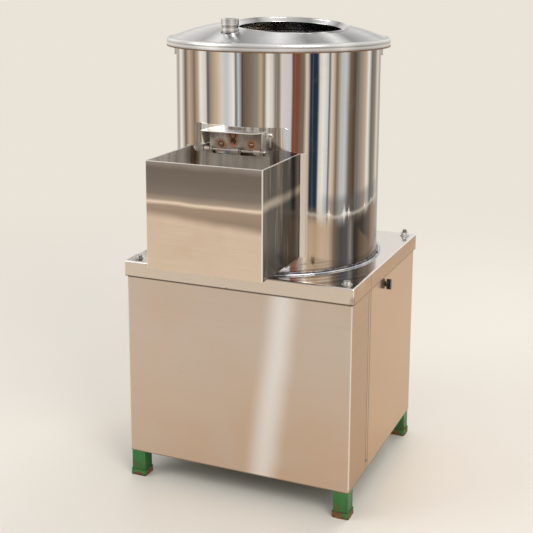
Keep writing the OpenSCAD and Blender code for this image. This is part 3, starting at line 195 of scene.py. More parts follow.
class Shader:
    """A material under construction, with object coordinates at hand."""

    def __init__(self, name, world=None):
        self.owner = world or bpy.data.materials.new(name)
        self.owner.use_nodes = True
        self.tree = self.owner.node_tree
        self.tree.nodes.clear()
        self.place = None

    def node(self, kind, settings=None, values=None, out=0):
        """Adds a node with its settings, then the values or links of its sockets."""
        made = self.tree.nodes.new(kind)
        for key, setting in (settings or {}).items():
            if key == "stops":
                ramp = made.color_ramp
                while len(ramp.elements) < len(setting):
                    ramp.elements.new(0.5)
                for element, (place, colour) in zip(ramp.elements, setting):
                    element.position = place
                    element.color = (*colour, 1.0)
            elif key == "blend_in":
                made.color_ramp.interpolation = setting
            else:
                setattr(made, key, setting)
        for key, value in (values or {}).items():
            socket = made.inputs[key]
            if isinstance(value, Socket):
                self.tree.links.new(value.output, socket)
            elif hasattr(value, "__len__") and len(value) == 3 and socket.type == "RGBA":
                socket.default_value = (*value, 1.0)
            else:
                socket.default_value = value
        return Socket(self, made.outputs[out]) if made.outputs else None

    def coordinates(self):
        """Place on the piece, in metres."""
        if self.place is None:
            self.place = self.node("ShaderNodeTexCoord", out="Object")
        return self.place

    def axes(self, vector=None):
        """The three parts of a vector, the place on the piece unless another is given."""
        split = self.node("ShaderNodeSeparateXYZ", None, {0: vector or self.coordinates()})
        outputs = split.output.node.outputs
        return [Socket(self, outputs[i]) for i in range(3)]

    def stretched(self, scale, offset=(0.0, 0.0, 0.0), turn=(0.0, 0.0, 0.0)):
        """The place with each axis scaled, for grain that runs along one of them."""
        return self.node(
            "ShaderNodeMapping", None,
            {"Vector": self.coordinates(), "Location": offset, "Rotation": turn, "Scale": scale},
        )

    def vector(self, x, y, z=0.0):
        return self.node("ShaderNodeCombineXYZ", None, {0: x, 1: y, 2: z})

    def noise(self, scale, detail=3.0, rough=0.5, warp=0.0, vector=None):
        """Noise over the piece. Three scales draw it out along the axis of the least one."""
        if isinstance(scale, tuple):
            vector, scale = self.stretched(scale), 1.0
        values = {"Scale": scale, "Detail": detail, "Roughness": rough, "Distortion": warp}
        return self.node("ShaderNodeTexNoise", None, {"Vector": vector or self.coordinates(), **values})

    def cells(self, scale):
        """Distance from the middle of the nearest of many scattered cells."""
        return self.node("ShaderNodeTexVoronoi", None, {"Vector": self.coordinates(), "Scale": scale})

    def mix(self, amount, first, second):
        """Colours blended by amount."""
        made = self.node("ShaderNodeMix", {"data_type": "RGBA", "clamp_factor": True}, {0: amount}, 2)
        for index, value in ((6, first), (7, second)):
            socket = made.output.node.inputs[index]
            if isinstance(value, Socket):
                self.tree.links.new(value.output, socket)
            else:
                socket.default_value = (*value, 1.0)
        return made

    def ramp(self, amount, stops, blend_in="LINEAR"):
        return self.node("ShaderNodeValToRGB", {"stops": stops, "blend_in": blend_in}, {0: amount})

    def around(self, centre=(AXIS_X, AXIS_Y)):
        """Place across and along from an upright axis, the drum's unless another is given."""
        x, y, _ = self.axes()
        return x - centre[0], y - centre[1]

    def radius(self, centre=(AXIS_X, AXIS_Y)):
        """Distance from an upright axis."""
        return span(*self.around(centre))

    def angle(self, centre=(AXIS_X, AXIS_Y)):
        """Direction round an upright axis, from the front, in degrees."""
        across, along = self.around(centre)
        return across.math("ARCTAN2", -along) * (180 / math.pi)

    def bump(self, height, strength=0.3, distance=0.001, normal=None):
        values = {"Strength": strength, "Distance": distance, "Height": height}
        if normal is not None:
            values["Normal"] = normal
        return self.node("ShaderNodeBump", None, values)

    def surface(self, tone, gloss, normal, metallic=0.0):
        """The finished surface, with its roughness kept between 0 and 1."""
        values = {"Base Color": tone, "Roughness": gloss.held(), "Metallic": metallic, "Normal": normal}
        made = self.node("ShaderNodeBsdfPrincipled", None, values)
        self.node("ShaderNodeOutputMaterial", None, {"Surface": made})
        return self.owner

    def borders(self, name, width):
        """1 along the straight edges of a box-shaped node, falling to 0 within width of them."""
        low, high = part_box(name)
        gaps = []
        for socket, lowest, highest in zip(self.axes(), low, high):
            gaps.append(abs((socket - lowest).least(highest - socket)))
        first, second, third = gaps
        middle = first.least(second).most(first.most(second).least(third))
        return middle.step(width, 0.0)


def span(*parts):
    """The length of a line from its parts along the axes."""
    total = parts[0] * parts[0]
    for part in parts[1:]:
        total = total + part * part
    return total.math("SQRT")


def strongest(masks):
    """The highest of several masks at each place."""
    best = masks[0]
    for mask in masks[1:]:
        best = best.most(mask)
    return best


def scratches(m, scale, seed):
    """Thin scattered lines, 1 on a line."""
    moved, turned = (seed, seed * 2.0, 0.0), (0.0, seed * 0.3, seed * 0.5)
    place = m.stretched((scale, scale * 14, scale * 14), moved, turned)
    return m.noise(1.0, 2.0, 0.6, 0.4, place).step(0.67, 0.8)


# Finishes

# Lengths that the steel finishes share: how deep a side's own tone (the warm room painted in as a reflection)
# reaches in, the width of the painted edge along a fold, of a dark hem and of the brown stain beside them,
# and the slant of the cabinet's painted upright highlight
SKIN = 0.0006
FOLD = 0.004
HEM = 0.0015
STAIN_REACH = 0.03
HIGHLIGHT_LEVEL, HIGHLIGHT_LEAN = 0.3, 0.115

# How dense the rolled grain lies along each axis: drawn out level, drawn out across, and even
LEVEL_GRAIN = (1.5, 1.5, 330.0)
CROSS_GRAIN = (3.0, 300.0, 300.0)
EVEN_GRAIN = (200.0, 200.0, 200.0)


def brushed_steel(
    name, colour, grain, warm, rough=0.3, edge_of=None, rim=(0.96, 0.955, 0.94), stain=0.2, highlight_band=None,
    metal=0.92, lines=(), depth=0.025, beside=None, sink=None,
):
    """Sheet steel with a fine rolled grain, faint smears, painted light along its folds and a little brown
    staining.

    The upright highlight is painted: its middle, half width and colour. lines are painted shade along the
    seams: axis, place and half width. beside is the half width past which the right-hand side has a colour of
    its own, the warm room painted in as a reflection. rim is the colour painted along the folds: white for a
    painted highlight, dark for painted shade.
    """
    m = Shader(name)
    axes = m.axes()
    x, z = axes[0], axes[2]
    fine = m.noise(grain, 2.0, 0.5)
    broad = m.noise(tuple(g * 0.05 for g in grain), 1.0, 0.5)
    smear = m.noise(4.0, 3.0, 0.5, 0.5)
    tone = m.mix(fine.step(0.3, 0.7), toned(colour, 1.0 - depth), colour)
    tone = m.mix(broad.step(0.25, 0.8) * 0.16, tone, toned(colour, 1.12, most=0.96))
    amount = smear.step(0.35, 0.7) * 0.4
    if sink:
        amount = (amount * 0.7 + z.step(*sink) * 0.4).held()
    tone = m.mix(amount, tone, warm)
    # Painted highlight: an upright stripe of shine that leans a little
    if highlight_band:
        middle, width, light = highlight_band
        stripe = x - middle - (z - HIGHLIGHT_LEVEL) * HIGHLIGHT_LEAN + (smear - 0.5) * 0.03
        tone = m.mix(abs(stripe).step(width, 0.0) * 0.7, tone, light)
    # The right-hand side in its own colour: the warm room painted in as a reflection
    if beside:
        half, side = beside
        flat = m.mix(fine.step(0.3, 0.7) * 0.3, side, toned(side, 0.8))
        flat = m.mix(smear.step(0.4, 0.7) * 0.4, flat, toned(side, 1.2))
        tone = m.mix((x - AXIS_X).step(half - SKIN * 2, half - SKIN), tone, flat)
    brown = m.noise(23.0, 5.0, 0.7).step(0.6, 0.78)
    if edge_of:
        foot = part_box(edge_of)[0].z
        # Painted along the folds in the rim colour: white is a painted highlight, dark is painted shade
        tone = m.mix(m.borders(edge_of, FOLD) * z.step(foot + FOLD, foot + FOLD * 3) * 0.85, tone, rim)
        tone = m.mix(z.step(foot + HEM * 2, foot + HEM) * 0.6, tone, shade(84, 66, 48))
        tone = m.mix(m.borders(edge_of, STAIN_REACH) * brown * stain, tone, shade(112, 78, 44))
    else:
        tone = m.mix(brown * stain * 0.4, tone, shade(120, 92, 64))
    # Painted shade along the seams
    for axis, value, width in lines:
        tone = m.mix(abs(axes[axis] - value).step(width, width * 0.5) * 0.85, tone, shade(58, 48, 38))
    gloss = rough + (fine - 0.5) * 0.02 + (smear - 0.5) * 0.12
    return m.surface(tone, gloss, m.bump(smear, 0.05, 0.001), metal)


def banded(m, amount, stops):
    """Colours placed along a run of values, each stop a value and its colour."""
    first, last = stops[0][0], stops[-1][0]
    share = (amount - first) / (last - first)
    return m.ramp(share.held(), [((value - first) / (last - first), colour) for value, colour in stops])


def polished_drum(name):
    """Mirror steel rolled into a drum: upright bands of painted reflection, small waves and fingerprints."""
    m = Shader(name)
    angle = m.angle()
    waver = m.noise((4.0, 4.0, 1.4), 2.0, 0.5) - 0.5
    ripple = m.noise((75.0, 75.0, 0.6), 3.0, 0.6)
    thin = m.noise((240.0, 240.0, 0.9), 2.0, 0.6)
    turned = angle + waver * 3.0 + (ripple - 0.5) * 2.4
    # Painted reflections in upright bands, by degrees from the front, on three ramps because one holds 32
    # stops
    left = banded(m, turned, [
        (-66, DARK), (-56, UMBER), (-50, TAUPE), (-46, WHITE), (-43, PALE), (-39, UMBER), (-34, WARM),
        (-29, TAUPE), (-26, WARM), (-24, WHITE), (-20, PALE), (-18.6, SLATE), (-17, GREY), (-13, WARM),
        (-9, PALE), (-6, COOL), (-2, WHITE), (-0.6, SLATE), (1, COOL), (3, UMBER), (6, TAUPE), (11, GREY),
        (13, WARM), (15, TAUPE), (16.6, WHITE), (19.4, PALE), (20.6, GREY), (22, TAUPE),
    ])
    right = banded(m, turned, [
        (22, TAUPE), (23.4, PALE), (26.5, LILAC), (28.4, COOL), (29.4, RUST), (32.6, RUST), (33.6, TAUPE),
        (35, TAUPE), (36.2, PALE), (37.4, WARM), (38.2, NAVY), (42.6, NAVY), (43.6, PALE), (46, WHITE),
        (48.4, COOL), (49.2, SLATE), (50.4, PALE), (52.4, WARM), (54, TAUPE), (57.5, SILVER), (60, COOL),
        (63, TAUPE), (67, UMBER), (72, GREY), (77, WARM), (79.5, WHITE), (83, SLATE), (88, TAUPE),
        (93, PALE), (98, DARK), (106, UMBER),
    ])
    behind = banded(m, turned.wrapped(106.0, 466.0), [
        (106, UMBER), (116, SILVER), (128, PALE), (137, TAUPE), (146, WARM), (158, WHITE), (166, GREY),
        (180, COOL), (192, SILVER), (204, UMBER), (214, WARM), (228, PALE), (240, GREY), (252, SILVER),
        (266, TAUPE), (280, COOL), (290, UMBER), (296, DARK),
    ])
    tone = m.mix(turned.step(21.9, 22.1), left, right)
    tone = m.mix(abs(turned - 20.0).step(85.9, 86.1), tone, behind)
    tone = m.mix(thin.step(0.5, 0.75) * 0.22, tone, SILVER)
    tone = m.mix(ripple.step(0.6, 0.8) * 0.3, tone, TAUPE)
    # The room's lower half as the drum mirrors it, above the tray on the right
    up = m.axes()[2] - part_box("drum_shell")[0].z
    near = (turned.step(30.0, 40.0) * turned.step(104.0, 88.0)).held()
    dip = ((turned - 62.0) / 40.0) ** 2.0 * 0.03
    torn = m.noise((60.0, 60.0, 7.0), 4.0, 0.6) - 0.5
    ledge = up - 0.128 - dip + waver * 0.02 + torn * 0.014
    under = banded(m, turned + waver * 3.0, [
        (34, PALE), (38, WARM), (44, shade(196, 168, 140)), (50, WARM), (54, TAUPE), (57, UMBER),
        (60, DARK), (64, SLATE), (66.5, GREY), (69, DARK), (77, DARK), (83, UMBER),
        (88, shade(150, 116, 80)), (94, DARK),
    ])
    tone = m.mix(near * ledge.step(0.03, -0.03) * 0.9, tone, under)
    # A dull blue-grey shoulder above the ledge, and a pale line along it
    tone = m.mix(near * abs(ledge - 0.03).step(0.034, 0.006) * turned.step(42.0, 52.0) * 0.5, tone, SLATE)
    tone = m.mix(near * abs(ledge - 0.004).step(0.008, 0.0) * 0.45, tone, PALE)
    slope = m.mix((up - (96.0 - turned) * 0.0038).step(0.005, -0.005), under, shade(120, 98, 76))
    tone = m.mix(near * turned.step(70.0, 76.0) * ledge.step(0.0, -0.02) * 0.6, tone, slope)
    # Star highlights along the ledge, each a direction and a size
    stars = []
    for at, size in ((50.5, 2.0), (60.5, 3.0), (64.0, 2.2), (78.0, 1.4), (86.0, 1.2)):
        wide, tall = abs(angle - at) / size, abs(ledge - 0.008) / (0.016 * size)
        stars.append((wide.math("SQRT") * 0.8 + tall.math("SQRT")).step(1.0, 0.45))
    tone = m.mix(strongest(stars) * near, tone, WHITE)
    prints = m.noise(14.0, 6.0, 0.6, 0.3).step(0.56, 0.72)
    tone = m.mix(prints * 0.08, tone, GREY)
    foot = up.step(0.006, 0.0)
    tone = m.mix(foot * 0.6, tone, UMBER)
    gloss = 0.06 + prints * 0.07 + thin * 0.05 + foot * 0.2
    soft = m.bump(m.noise((26.0, 26.0, 1.5), 2.0, 0.5), 0.3, 0.002)
    sharp = m.bump(ripple * 0.5 + thin * 0.3, 0.1, 0.0006, soft)
    return m.surface(tone, gloss, sharp, 1.0)


def polished_sheet(name, edge_of):
    """Mirror sheet beside the drum: upright streaks of painted reflection, with a painted highlight along its
    cut edges.
    """
    m = Shader(name)
    streak = m.noise((26.0, 26.0, 1.5), 3.0, 0.5, 0.3)
    thin = m.noise((260.0, 260.0, 2.0), 2.0, 0.6)
    # Painted reflection in upright streaks
    tone = m.ramp(streak.step(0.28, 0.72), [
        (0.0, GREY), (0.2, TAUPE), (0.35, GREY), (0.5, PALE), (0.62, WARM), (0.75, SILVER), (0.85, COOL),
        (1.0, GREY),
    ])
    tone = m.mix(thin.step(0.45, 0.7) * 0.4, tone, SILVER)
    # Painted highlight along the cut edges
    tone = m.mix(m.borders(edge_of, 0.0016) * 0.9, tone, WHITE)
    cloud = m.noise(60.0, 5.0, 0.65)
    tone = m.mix(cloud.step(0.62, 0.76) * 0.4, tone, shade(132, 96, 60))
    gloss = 0.12 + (cloud - 0.5) * 0.14
    waves = m.bump(streak * 0.6 + thin * 0.4, 0.12, 0.0005)
    return m.surface(tone, gloss, waves, 0.95)


def spun_lid(name, centre, sectors, rough=0.2, rings=1.0, levels=None):
    """Spun sheet steel: rings from the spinning, and sectors of painted highlight and painted shade round its
    centre.

    levels are the painted highlights and shade up its edge: the height that they start from, the distance
    from the centre past which they show, how much they cover, and their stops in millimetres.
    """
    m = Shader(name)
    z = m.axes()[2]
    radius = m.radius(centre)
    ring = m.noise(1.0, 3.0, 0.6, vector=m.vector(radius * 260.0, z * 120.0))
    smear = m.noise(6.0, 4.0, 0.55, 0.5)
    turned = (m.angle(centre) + (smear - 0.5) * 16.0).wrapped(-60.0, 300.0)
    # Painted highlights and shade in sectors round the centre
    tone = banded(m, turned, sectors)
    # Painted highlights and shade up the edge
    if levels:
        base, inner, amount, stops = levels
        steps = banded(m, (z - base) * MM + (smear - 0.5) * 1.5, stops)
        tone = m.mix(radius.step(inner, inner + FOLD) * amount, tone, steps)
    tone = m.mix(ring.step(0.3, 0.7) * 0.12 * rings, tone, GREY)
    mark = m.noise(40.0, 4.0, 0.7).step(0.62, 0.75)
    tone = m.mix(mark * 0.15, tone, shade(170, 150, 128))
    gloss = rough + (ring - 0.5) * 0.12 + (smear - 0.5) * 0.12
    return m.surface(tone, gloss, m.bump(ring, 0.08, 0.0004), 1.0)


def chute_finish(name):
    """The chute box: a satin front with the room painted in as a reflection and a bright level stripe of
    painted highlight, sides of dark streaked painted reflection and a paler inside.
    """
    m = Shader(name)
    x, y, z = m.axes()
    low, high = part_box("chute_box")
    up, back = (z - low.z) / (high.z - low.z), y - low.y
    outward = abs(x - AXIS_X)
    smear = m.noise(5.0, 4.0, 0.55, 0.5)
    fine = m.noise((6.0, 6.0, 900.0), 3.0, 0.6)
    streak = m.noise((30.0, 30.0, 1.2), 3.0, 0.55)
    # The room painted in as a reflection up the front, with a bright stripe of painted highlight
    front = m.ramp((up + (smear - 0.5) * 0.07).held(), [
        (0.0, shade(176, 154, 134)), (0.5, shade(162, 144, 128)), (0.595, shade(176, 156, 138)),
        (0.625, shade(252, 232, 212)), (0.65, shade(178, 162, 148)), (0.71, shade(138, 128, 120)),
        (0.82, shade(126, 117, 109)), (0.94, shade(122, 112, 104)), (1.0, shade(158, 150, 142)),
    ])
    # In the painted reflection the lower part is pale, up to an edge that falls to the right
    lower = up + (x - AXIS_X) / BOX_HALF * 0.04 + (smear - 0.5) * 0.05
    pale = m.mix(smear.step(0.35, 0.7), shade(228, 208, 188), shade(220, 197, 174))
    front = m.mix(lower.step(0.53, 0.43), front, pale)
    tone = m.mix(fine.step(0.3, 0.72) * 0.08, front, shade(120, 112, 104))
    # Painted reflection on the sides: dark streaks, and a bright stripe of painted highlight
    side = m.ramp(streak.step(0.3, 0.7), [
        (0.0, shade(34, 32, 24)), (0.3, shade(70, 62, 50)), (0.5, shade(42, 40, 32)),
        (0.64, shade(128, 112, 94)), (0.78, shade(50, 44, 38)), (1.0, shade(106, 94, 82)),
    ])
    glow = abs(up - 0.66 + (smear - 0.5) * 0.05).step(0.07, 0.0)
    side = m.mix(glow * 0.6, side, shade(214, 200, 184))
    beside = outward.step(BOX_HALF - 0.0011, BOX_HALF - 0.0007)
    tone = m.mix(beside * back.step(0.0006, 0.0016), tone, side)
    # The joining strips at the drum stand further out than the sides, streaked with painted reflection
    strip = m.mix(streak.step(0.35, 0.65), shade(112, 98, 84), shade(216, 208, 200))
    tone = m.mix(outward.step(BOX_HALF + 0.0006, BOX_HALF + 0.0014), tone, strip)
    inside = outward.step(BOX_HALF - 0.001, BOX_HALF - 0.0013) * back.step(0.001, 0.0013)
    tone = m.mix(inside, tone, m.mix(streak.step(0.3, 0.7), shade(176, 168, 160), shade(224, 220, 214)))
    line = scratches(m, 7.0, 2.3)
    tone = m.mix(line * 0.2, tone, shade(230, 228, 224))
    # Painted highlight along the front corners and the top edge
    corner = abs(outward - BOX_HALF).step(0.0035, 0.0012) * back.step(0.0045, 0.002)
    rim = (high.z - z).step(0.0018, 0.0006)
    tone = m.mix(corner.most(rim) * 0.85, tone, shade(246, 244, 240))
    gloss = 0.22 - beside * 0.08 + inside * 0.2 + (fine - 0.5) * 0.12 + (smear - 0.5) * 0.12
    return m.surface(
        tone, gloss, m.bump(fine * 0.3 + line * 0.3, 0.08, 0.0004), (0.95 - inside * 0.55).held(),
    )


def header_finish(name):
    """Dull grey hinge plate with painted shade from the hood, darker to the right, and brown haloes round its
    bolts.
    """
    m = Shader(name)
    x, _, z = m.axes()
    cloud = m.noise(34.0, 5.0, 0.65, 0.3)
    fine = m.noise((240.0, 240.0, 30.0), 3.0, 0.6)
    tone = m.mix(cloud.step(0.3, 0.7), shade(134, 127, 117), shade(206, 199, 189))
    # Painted shade from the hood, darker to the right
    tone = m.mix((x - AXIS_X).step(-0.04, 0.06) * 0.5, tone, shade(104, 88, 72))
    tone = m.mix(fine.step(0.35, 0.7) * 0.2, tone, shade(110, 104, 96))
    haloes, outlines = [], []
    for across, height in BOLT_PLACES:
        below = height - z
        gap = span(x - across, below) + (cloud - 0.5) * 0.007
        run = abs(x - across + (cloud - 0.5) * 0.006).step(0.008, 0.003) * below.step(-0.004, 0.004)
        haloes.append(gap.step(0.019, 0.008).most(run * below.step(0.034, 0.012) * 0.7))
        outlines.append(gap.step(0.0088, 0.0068))
    rust = strongest(haloes)
    tone = m.mix(rust * 0.8, tone, shade(166, 108, 52))
    tone = m.mix(strongest(outlines) * 0.9, tone, shade(44, 26, 14))
    # A pink smudge of paint between the lower bolts
    smudge = span(x - AXIS_X + 0.007, z - BOLTS_LOW.z - 0.0061).step(0.006, 0.003)
    tone = m.mix(smudge * 0.6, tone, shade(196, 112, 116))
    gloss = 0.42 + rust * 0.3 + (cloud - 0.5) * 0.2
    return m.surface(
        tone, gloss, m.bump(fine * 0.3 + rust * cloud, 0.25, 0.0006), (0.5 - rust * 0.45).held(),
    )


def rolled_flange(name):
    """The drum's base ring: painted highlights and reflections along its rolled edge, painted shade in the
    valley beside it.
    """
    m = Shader(name)
    wave = m.noise((30.0, 30.0, 60.0), 4.0, 0.6)
    fine = m.noise(420.0, 3.0, 0.6)
    out = (m.radius() - DRUM_R) * MM + (wave - 0.5) * 2.2
    # Painted highlights, reflections and shade, by millimetres out from the drum
    tone = banded(m, out, [
        (0.0, shade(96, 90, 84)), (2.2, PALE), (3.8, SLATE), (5.4, shade(118, 122, 128)), (7.0, WHITE),
        (8.4, SILVER), (9.6, SLATE), (10.6, COOL), (11.4, WHITE), (12.4, GREY),
    ])
    # Painted highlights in patches along the ring
    tone = m.mix(wave.step(0.52, 0.7) * 0.5, tone, WHITE)
    tone = m.mix(fine.step(0.6, 0.75) * 0.3, tone, TAUPE)
    gloss = 0.13 + (wave - 0.5) * 0.16
    dents = m.bump(wave * 0.6 + fine * 0.1, 0.2, 0.0008)
    return m.surface(tone, gloss, dents, 1.0)


def mirror_tray(name, colour, side):
    """The tray: bright polished steel with the drum painted in as a reflection at its front and a painted
    highlight over the rest of its top, and a skirt, brown at the right where the warm room is painted in as a
    reflection.
    """
    m = Shader(name)
    x, y, z = m.axes()
    half = half_width("top_tray")
    cloud = m.noise(7.0, 4.0, 0.55, 0.6)
    fine = m.noise((1.5, 300.0, 300.0), 3.0, 0.6)
    brown = m.noise(26.0, 5.0, 0.7)
    wave = m.noise(6.0, 1.0, 0.5)
    round_low, round_high, fold, shadow_low, shadow_high = 0.003, 0.0022, 0.0042, 0.0014, 0.0026
    top = z.step(TRAY_HIGH.z - round_low, TRAY_HIGH.z - round_high)
    tone = m.mix(fine.step(0.3, 0.7) * 0.05, colour, toned(colour, 0.82))
    tone = m.mix(cloud.step(0.35, 0.7) * 0.3, tone, shade(216, 200, 182))
    # Over the front half the drum is painted in as a reflection on the polished top: arcs in millimetres from
    # its foot
    arcs = banded(m, (m.radius() - DRUM_R) * MM + (cloud - 0.5) * 30.0, [
        (8.0, PALE), (16.0, UMBER), (28.0, SLATE), (40.0, WHITE), (50.0, GREY), (64.0, WHITE),
        (78.0, SLATE), (96.0, PALE), (120.0, GREY), (150.0, SILVER),
    ])
    front = (y - AXIS_Y + (x - AXIS_X) * 0.35).step(0.05, -0.14)
    tone = m.mix(top * front * 0.6, tone, arcs)
    # A painted highlight over the rest of the top
    tone = m.mix(top * (1.0 - front) * 0.7, tone, shade(240, 236, 232))
    # The skirt's right side: the warm room painted in as a reflection
    flat = m.mix(fine.step(0.3, 0.7) * 0.12, side, toned(side, 0.82))
    flat = m.mix(cloud.step(0.45, 0.7) * 0.4, flat, shade(216, 188, 154))
    tone = m.mix((x - AXIS_X).step(half - SKIN * 2, half - SKIN), tone, flat)
    # Painted highlight along the upper folds
    upper = z.step(TRAY_LOW.z + 0.006, TRAY_LOW.z + 0.012)
    tone = m.mix(m.borders("top_tray", fold) * upper * 0.9, tone, WHITE)
    # Painted shadow along the skirt's bottom edge
    tone = m.mix(z.step(TRAY_LOW.z + shadow_high, TRAY_LOW.z + shadow_low) * 0.8, tone, shade(70, 56, 42))
    # Brown stains on the skirt's front: at the right corner, below it and left of the middle
    for across, height, size in (
        (TRAY_HIGH.x, 0.012, 0.013), (TRAY_HIGH.x - 0.006, 0.0, 0.009), (AXIS_X - 0.02, 0.0, 0.006),
    ):
        gap = span(x - across, y - TRAY_LOW.y, z - TRAY_LOW.z - height) + (brown - 0.5) * size
        tone = m.mix(gap.step(size, size * 0.2) * 0.55, tone, shade(128, 90, 52))
    gloss = 0.15 + (cloud - 0.5) * 0.1 + (1.0 - top) * 0.12
    return m.surface(tone, gloss, m.bump(wave, 0.05, 0.001), 0.96)


def green_paint(name, colour):
    """Brushed enamel over steel, chipped to brown rust at its corners and near the floor."""
    m = Shader(name)
    x, y, z = m.axes()
    cloud = m.noise(22.0, 5.0, 0.6, 0.4)
    stroke = m.noise((120.0, 120.0, 9.0), 3.0, 0.6)
    speck = m.noise(90.0, 6.0, 0.75, 0.2)
    chips = m.noise(46.0, 7.0, 0.72, 0.5)
    near_floor = z.step(0.12, 0.012)
    off_x, off_y = abs(abs(x - AXIS_X) - LEG_X), abs(abs(y - AXIS_Y) - LEG_Y)
    corner = off_x.least(off_y).step(LEG_TUBE / 2 - 0.0045, LEG_TUBE / 2 - 0.0005)
    paint = m.mix(stroke.step(0.3, 0.75), toned(colour, 0.72), colour)
    paint = m.mix(cloud.step(0.5, 0.8) * 0.4, paint, toned(colour, 1.5, 0.02))
    grime = (cloud * 0.6 + near_floor * 0.5).step(0.5, 0.95)
    paint = m.mix(grime * 0.5, paint, shade(44, 48, 30))
    bare = (chips + near_floor * 0.07 + corner * 0.06 + (speck - 0.5) * 0.12).step(0.64, 0.68)
    rust = m.mix(speck.step(0.35, 0.7), shade(78, 42, 22), shade(150, 88, 46))
    rust = m.mix(cloud.step(0.55, 0.8) * 0.5, rust, shade(40, 26, 18))
    tone = m.mix(bare, paint, rust)
    height = stroke * 0.15 + cloud * 0.1 - bare * 0.5 + bare * speck * 0.5
    gloss = 0.38 + bare * 0.45 + (cloud - 0.5) * 0.2 + grime * 0.12
    return m.surface(tone, gloss, m.bump(height, 0.5, 0.0008), bare * 0.15)


def rusty_foot(name, colour):
    """Foot plates where most of the paint has gone to rust and dirt."""
    m = Shader(name)
    z = m.axes()[2]
    cloud = m.noise(30.0, 6.0, 0.65, 0.5)
    grain = m.noise(150.0, 6.0, 0.75)
    tone = m.mix(grain.step(0.3, 0.7), shade(64, 40, 22), shade(142, 90, 48))
    tone = m.mix(cloud.step(0.45, 0.6), tone, shade(52, 46, 26))
    left = (cloud + z * 12.0).step(0.56, 0.64)
    tone = m.mix(left * 0.8, tone, colour)
    pits = m.cells(260.0)
    gloss = 0.7 + (grain - 0.5) * 0.3 - left * 0.2
    pitted = m.bump(grain * 0.6 + pits * 0.4, 0.7, 0.001)
    return m.surface(tone, gloss, pitted, 0.1)


def bare_bolt(name, colour, rust_share=0.2, rough=0.32):
    """Zinc-plated or rusty fasteners with turned faces."""
    m = Shader(name)
    cloud = m.noise(130.0, 5.0, 0.65, 0.4)
    fine = m.noise((900.0, 900.0, 225.0), 3.0, 0.6)
    tone = m.mix(fine.step(0.3, 0.7) * 0.5, colour, toned(colour, 0.6))
    worn = (cloud + (fine - 0.5) * 0.2).step(0.78 - rust_share * 0.55, 0.86 - rust_share * 0.5)
    rust = m.mix(fine, shade(70, 38, 20), shade(140, 84, 44))
    tone = m.mix(worn, tone, rust)
    gloss = rough + worn * 0.4 + (fine - 0.5) * 0.16
    return m.surface(tone, gloss, m.bump(fine * 0.3 + worn * cloud, 0.3, 0.0004), (1.0 - worn * 0.8).held())


def plated_bolt(name, colour):
    """Bright hex bolts: pale tops and washers, with painted shade on the flanks and in a dark ring round each
    washer.
    """
    m = Shader(name)
    x, y, z = m.axes()
    cloud = m.noise(130.0, 5.0, 0.65, 0.4)
    fine = m.noise((700.0, 700.0, 200.0), 3.0, 0.6)
    # In millimetres, out from the middle of a leg and down from the stud's top
    out = span(abs(x - AXIS_X) - LEG_X, abs(y - AXIS_Y) - LEG_Y) * MM
    down = (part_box("tray_bolts")[1].z - z) * MM
    tone = m.mix(fine.step(0.3, 0.7) * 0.3, colour, toned(colour, 0.7))
    # Painted shade: the dark ring round each washer and the dark flanks
    tone = m.mix(abs(out - 9.6).step(0.8, 0.4) * 0.6, tone, shade(62, 56, 52))
    tone = m.mix(out.step(12.1, 12.5) * 0.5, tone, shade(80, 74, 68))
    worn = cloud.step(0.68, 0.78)
    tone = m.mix(worn * 0.7, tone, shade(112, 80, 52))
    tone = m.mix(down.step(7.4, 6.6) * 0.8, tone, shade(66, 50, 38))
    gloss = 0.3 + worn * 0.4 + (fine - 0.5) * 0.12
    return m.surface(tone, gloss, m.bump(fine, 0.15, 0.0003), (0.45 - worn * 0.3).held())


def machine_paint(name, colour, rough=0.45, peel=0.3):
    """Sprayed paint on castings and the motor, with dust and worn corners."""
    m = Shader(name)
    orange = m.noise(380.0, 2.0, 0.5)
    cloud = m.noise(16.0, 5.0, 0.6, 0.4)
    dust = m.noise(60.0, 5.0, 0.7)
    tone = m.mix(cloud.step(0.3, 0.75), toned(colour, 0.7), colour)
    tone = m.mix(dust.step(0.55, 0.8) * 0.35, tone, shade(150, 142, 130))
    worn = m.noise(44.0, 7.0, 0.75, 0.4).step(0.7, 0.73)
    tone = m.mix(worn, tone, shade(120, 116, 110))
    gloss = rough + dust.step(0.5, 0.8) * 0.2 + (cloud - 0.5) * 0.15
    return m.surface(tone, gloss, m.bump(orange * peel - worn * 0.6, 0.3, 0.0006), worn * 0.7)


def abrasive(name, colour):
    """Carborundum in cement: sharp dark grains with a few that glint."""
    m = Shader(name)
    grain = m.cells(620.0)
    coarse = m.cells(330.0)
    pores = m.noise(90.0, 5.0, 0.7)
    spark = m.noise(900.0, 2.0, 0.5).step(0.66, 0.72)
    tone = m.mix(grain.step(0.1, 0.7), toned(colour, 1.9), toned(colour, 0.5))
    tone = m.mix(pores.step(0.45, 0.75) * 0.5, tone, toned(colour, 0.4))
    tone = m.mix(spark * 0.5, tone, shade(150, 150, 154))
    height = 1.0 - grain * 0.8 - coarse * 0.5 + pores * 0.4
    return m.surface(tone, 0.85 - spark * 0.5, m.bump(height, 0.9, 0.0016), spark * 0.4)


def rubber(name, colour):
    """Dull rubber with bloom and mould grain."""
    m = Shader(name)
    bloom = m.noise(26.0, 5.0, 0.6, 0.3)
    grain = m.noise(700.0, 3.0, 0.6)
    tone = m.mix(bloom.step(0.4, 0.8) * 0.6, colour, toned(colour, 2.2, 0.02))
    tone = m.mix(grain.step(0.4, 0.7) * 0.3, tone, toned(colour, 0.6))
    gloss = 0.62 + (bloom - 0.5) * 0.2 + (grain - 0.5) * 0.1
    return m.surface(tone, gloss, m.bump(grain, 0.25, 0.0003))


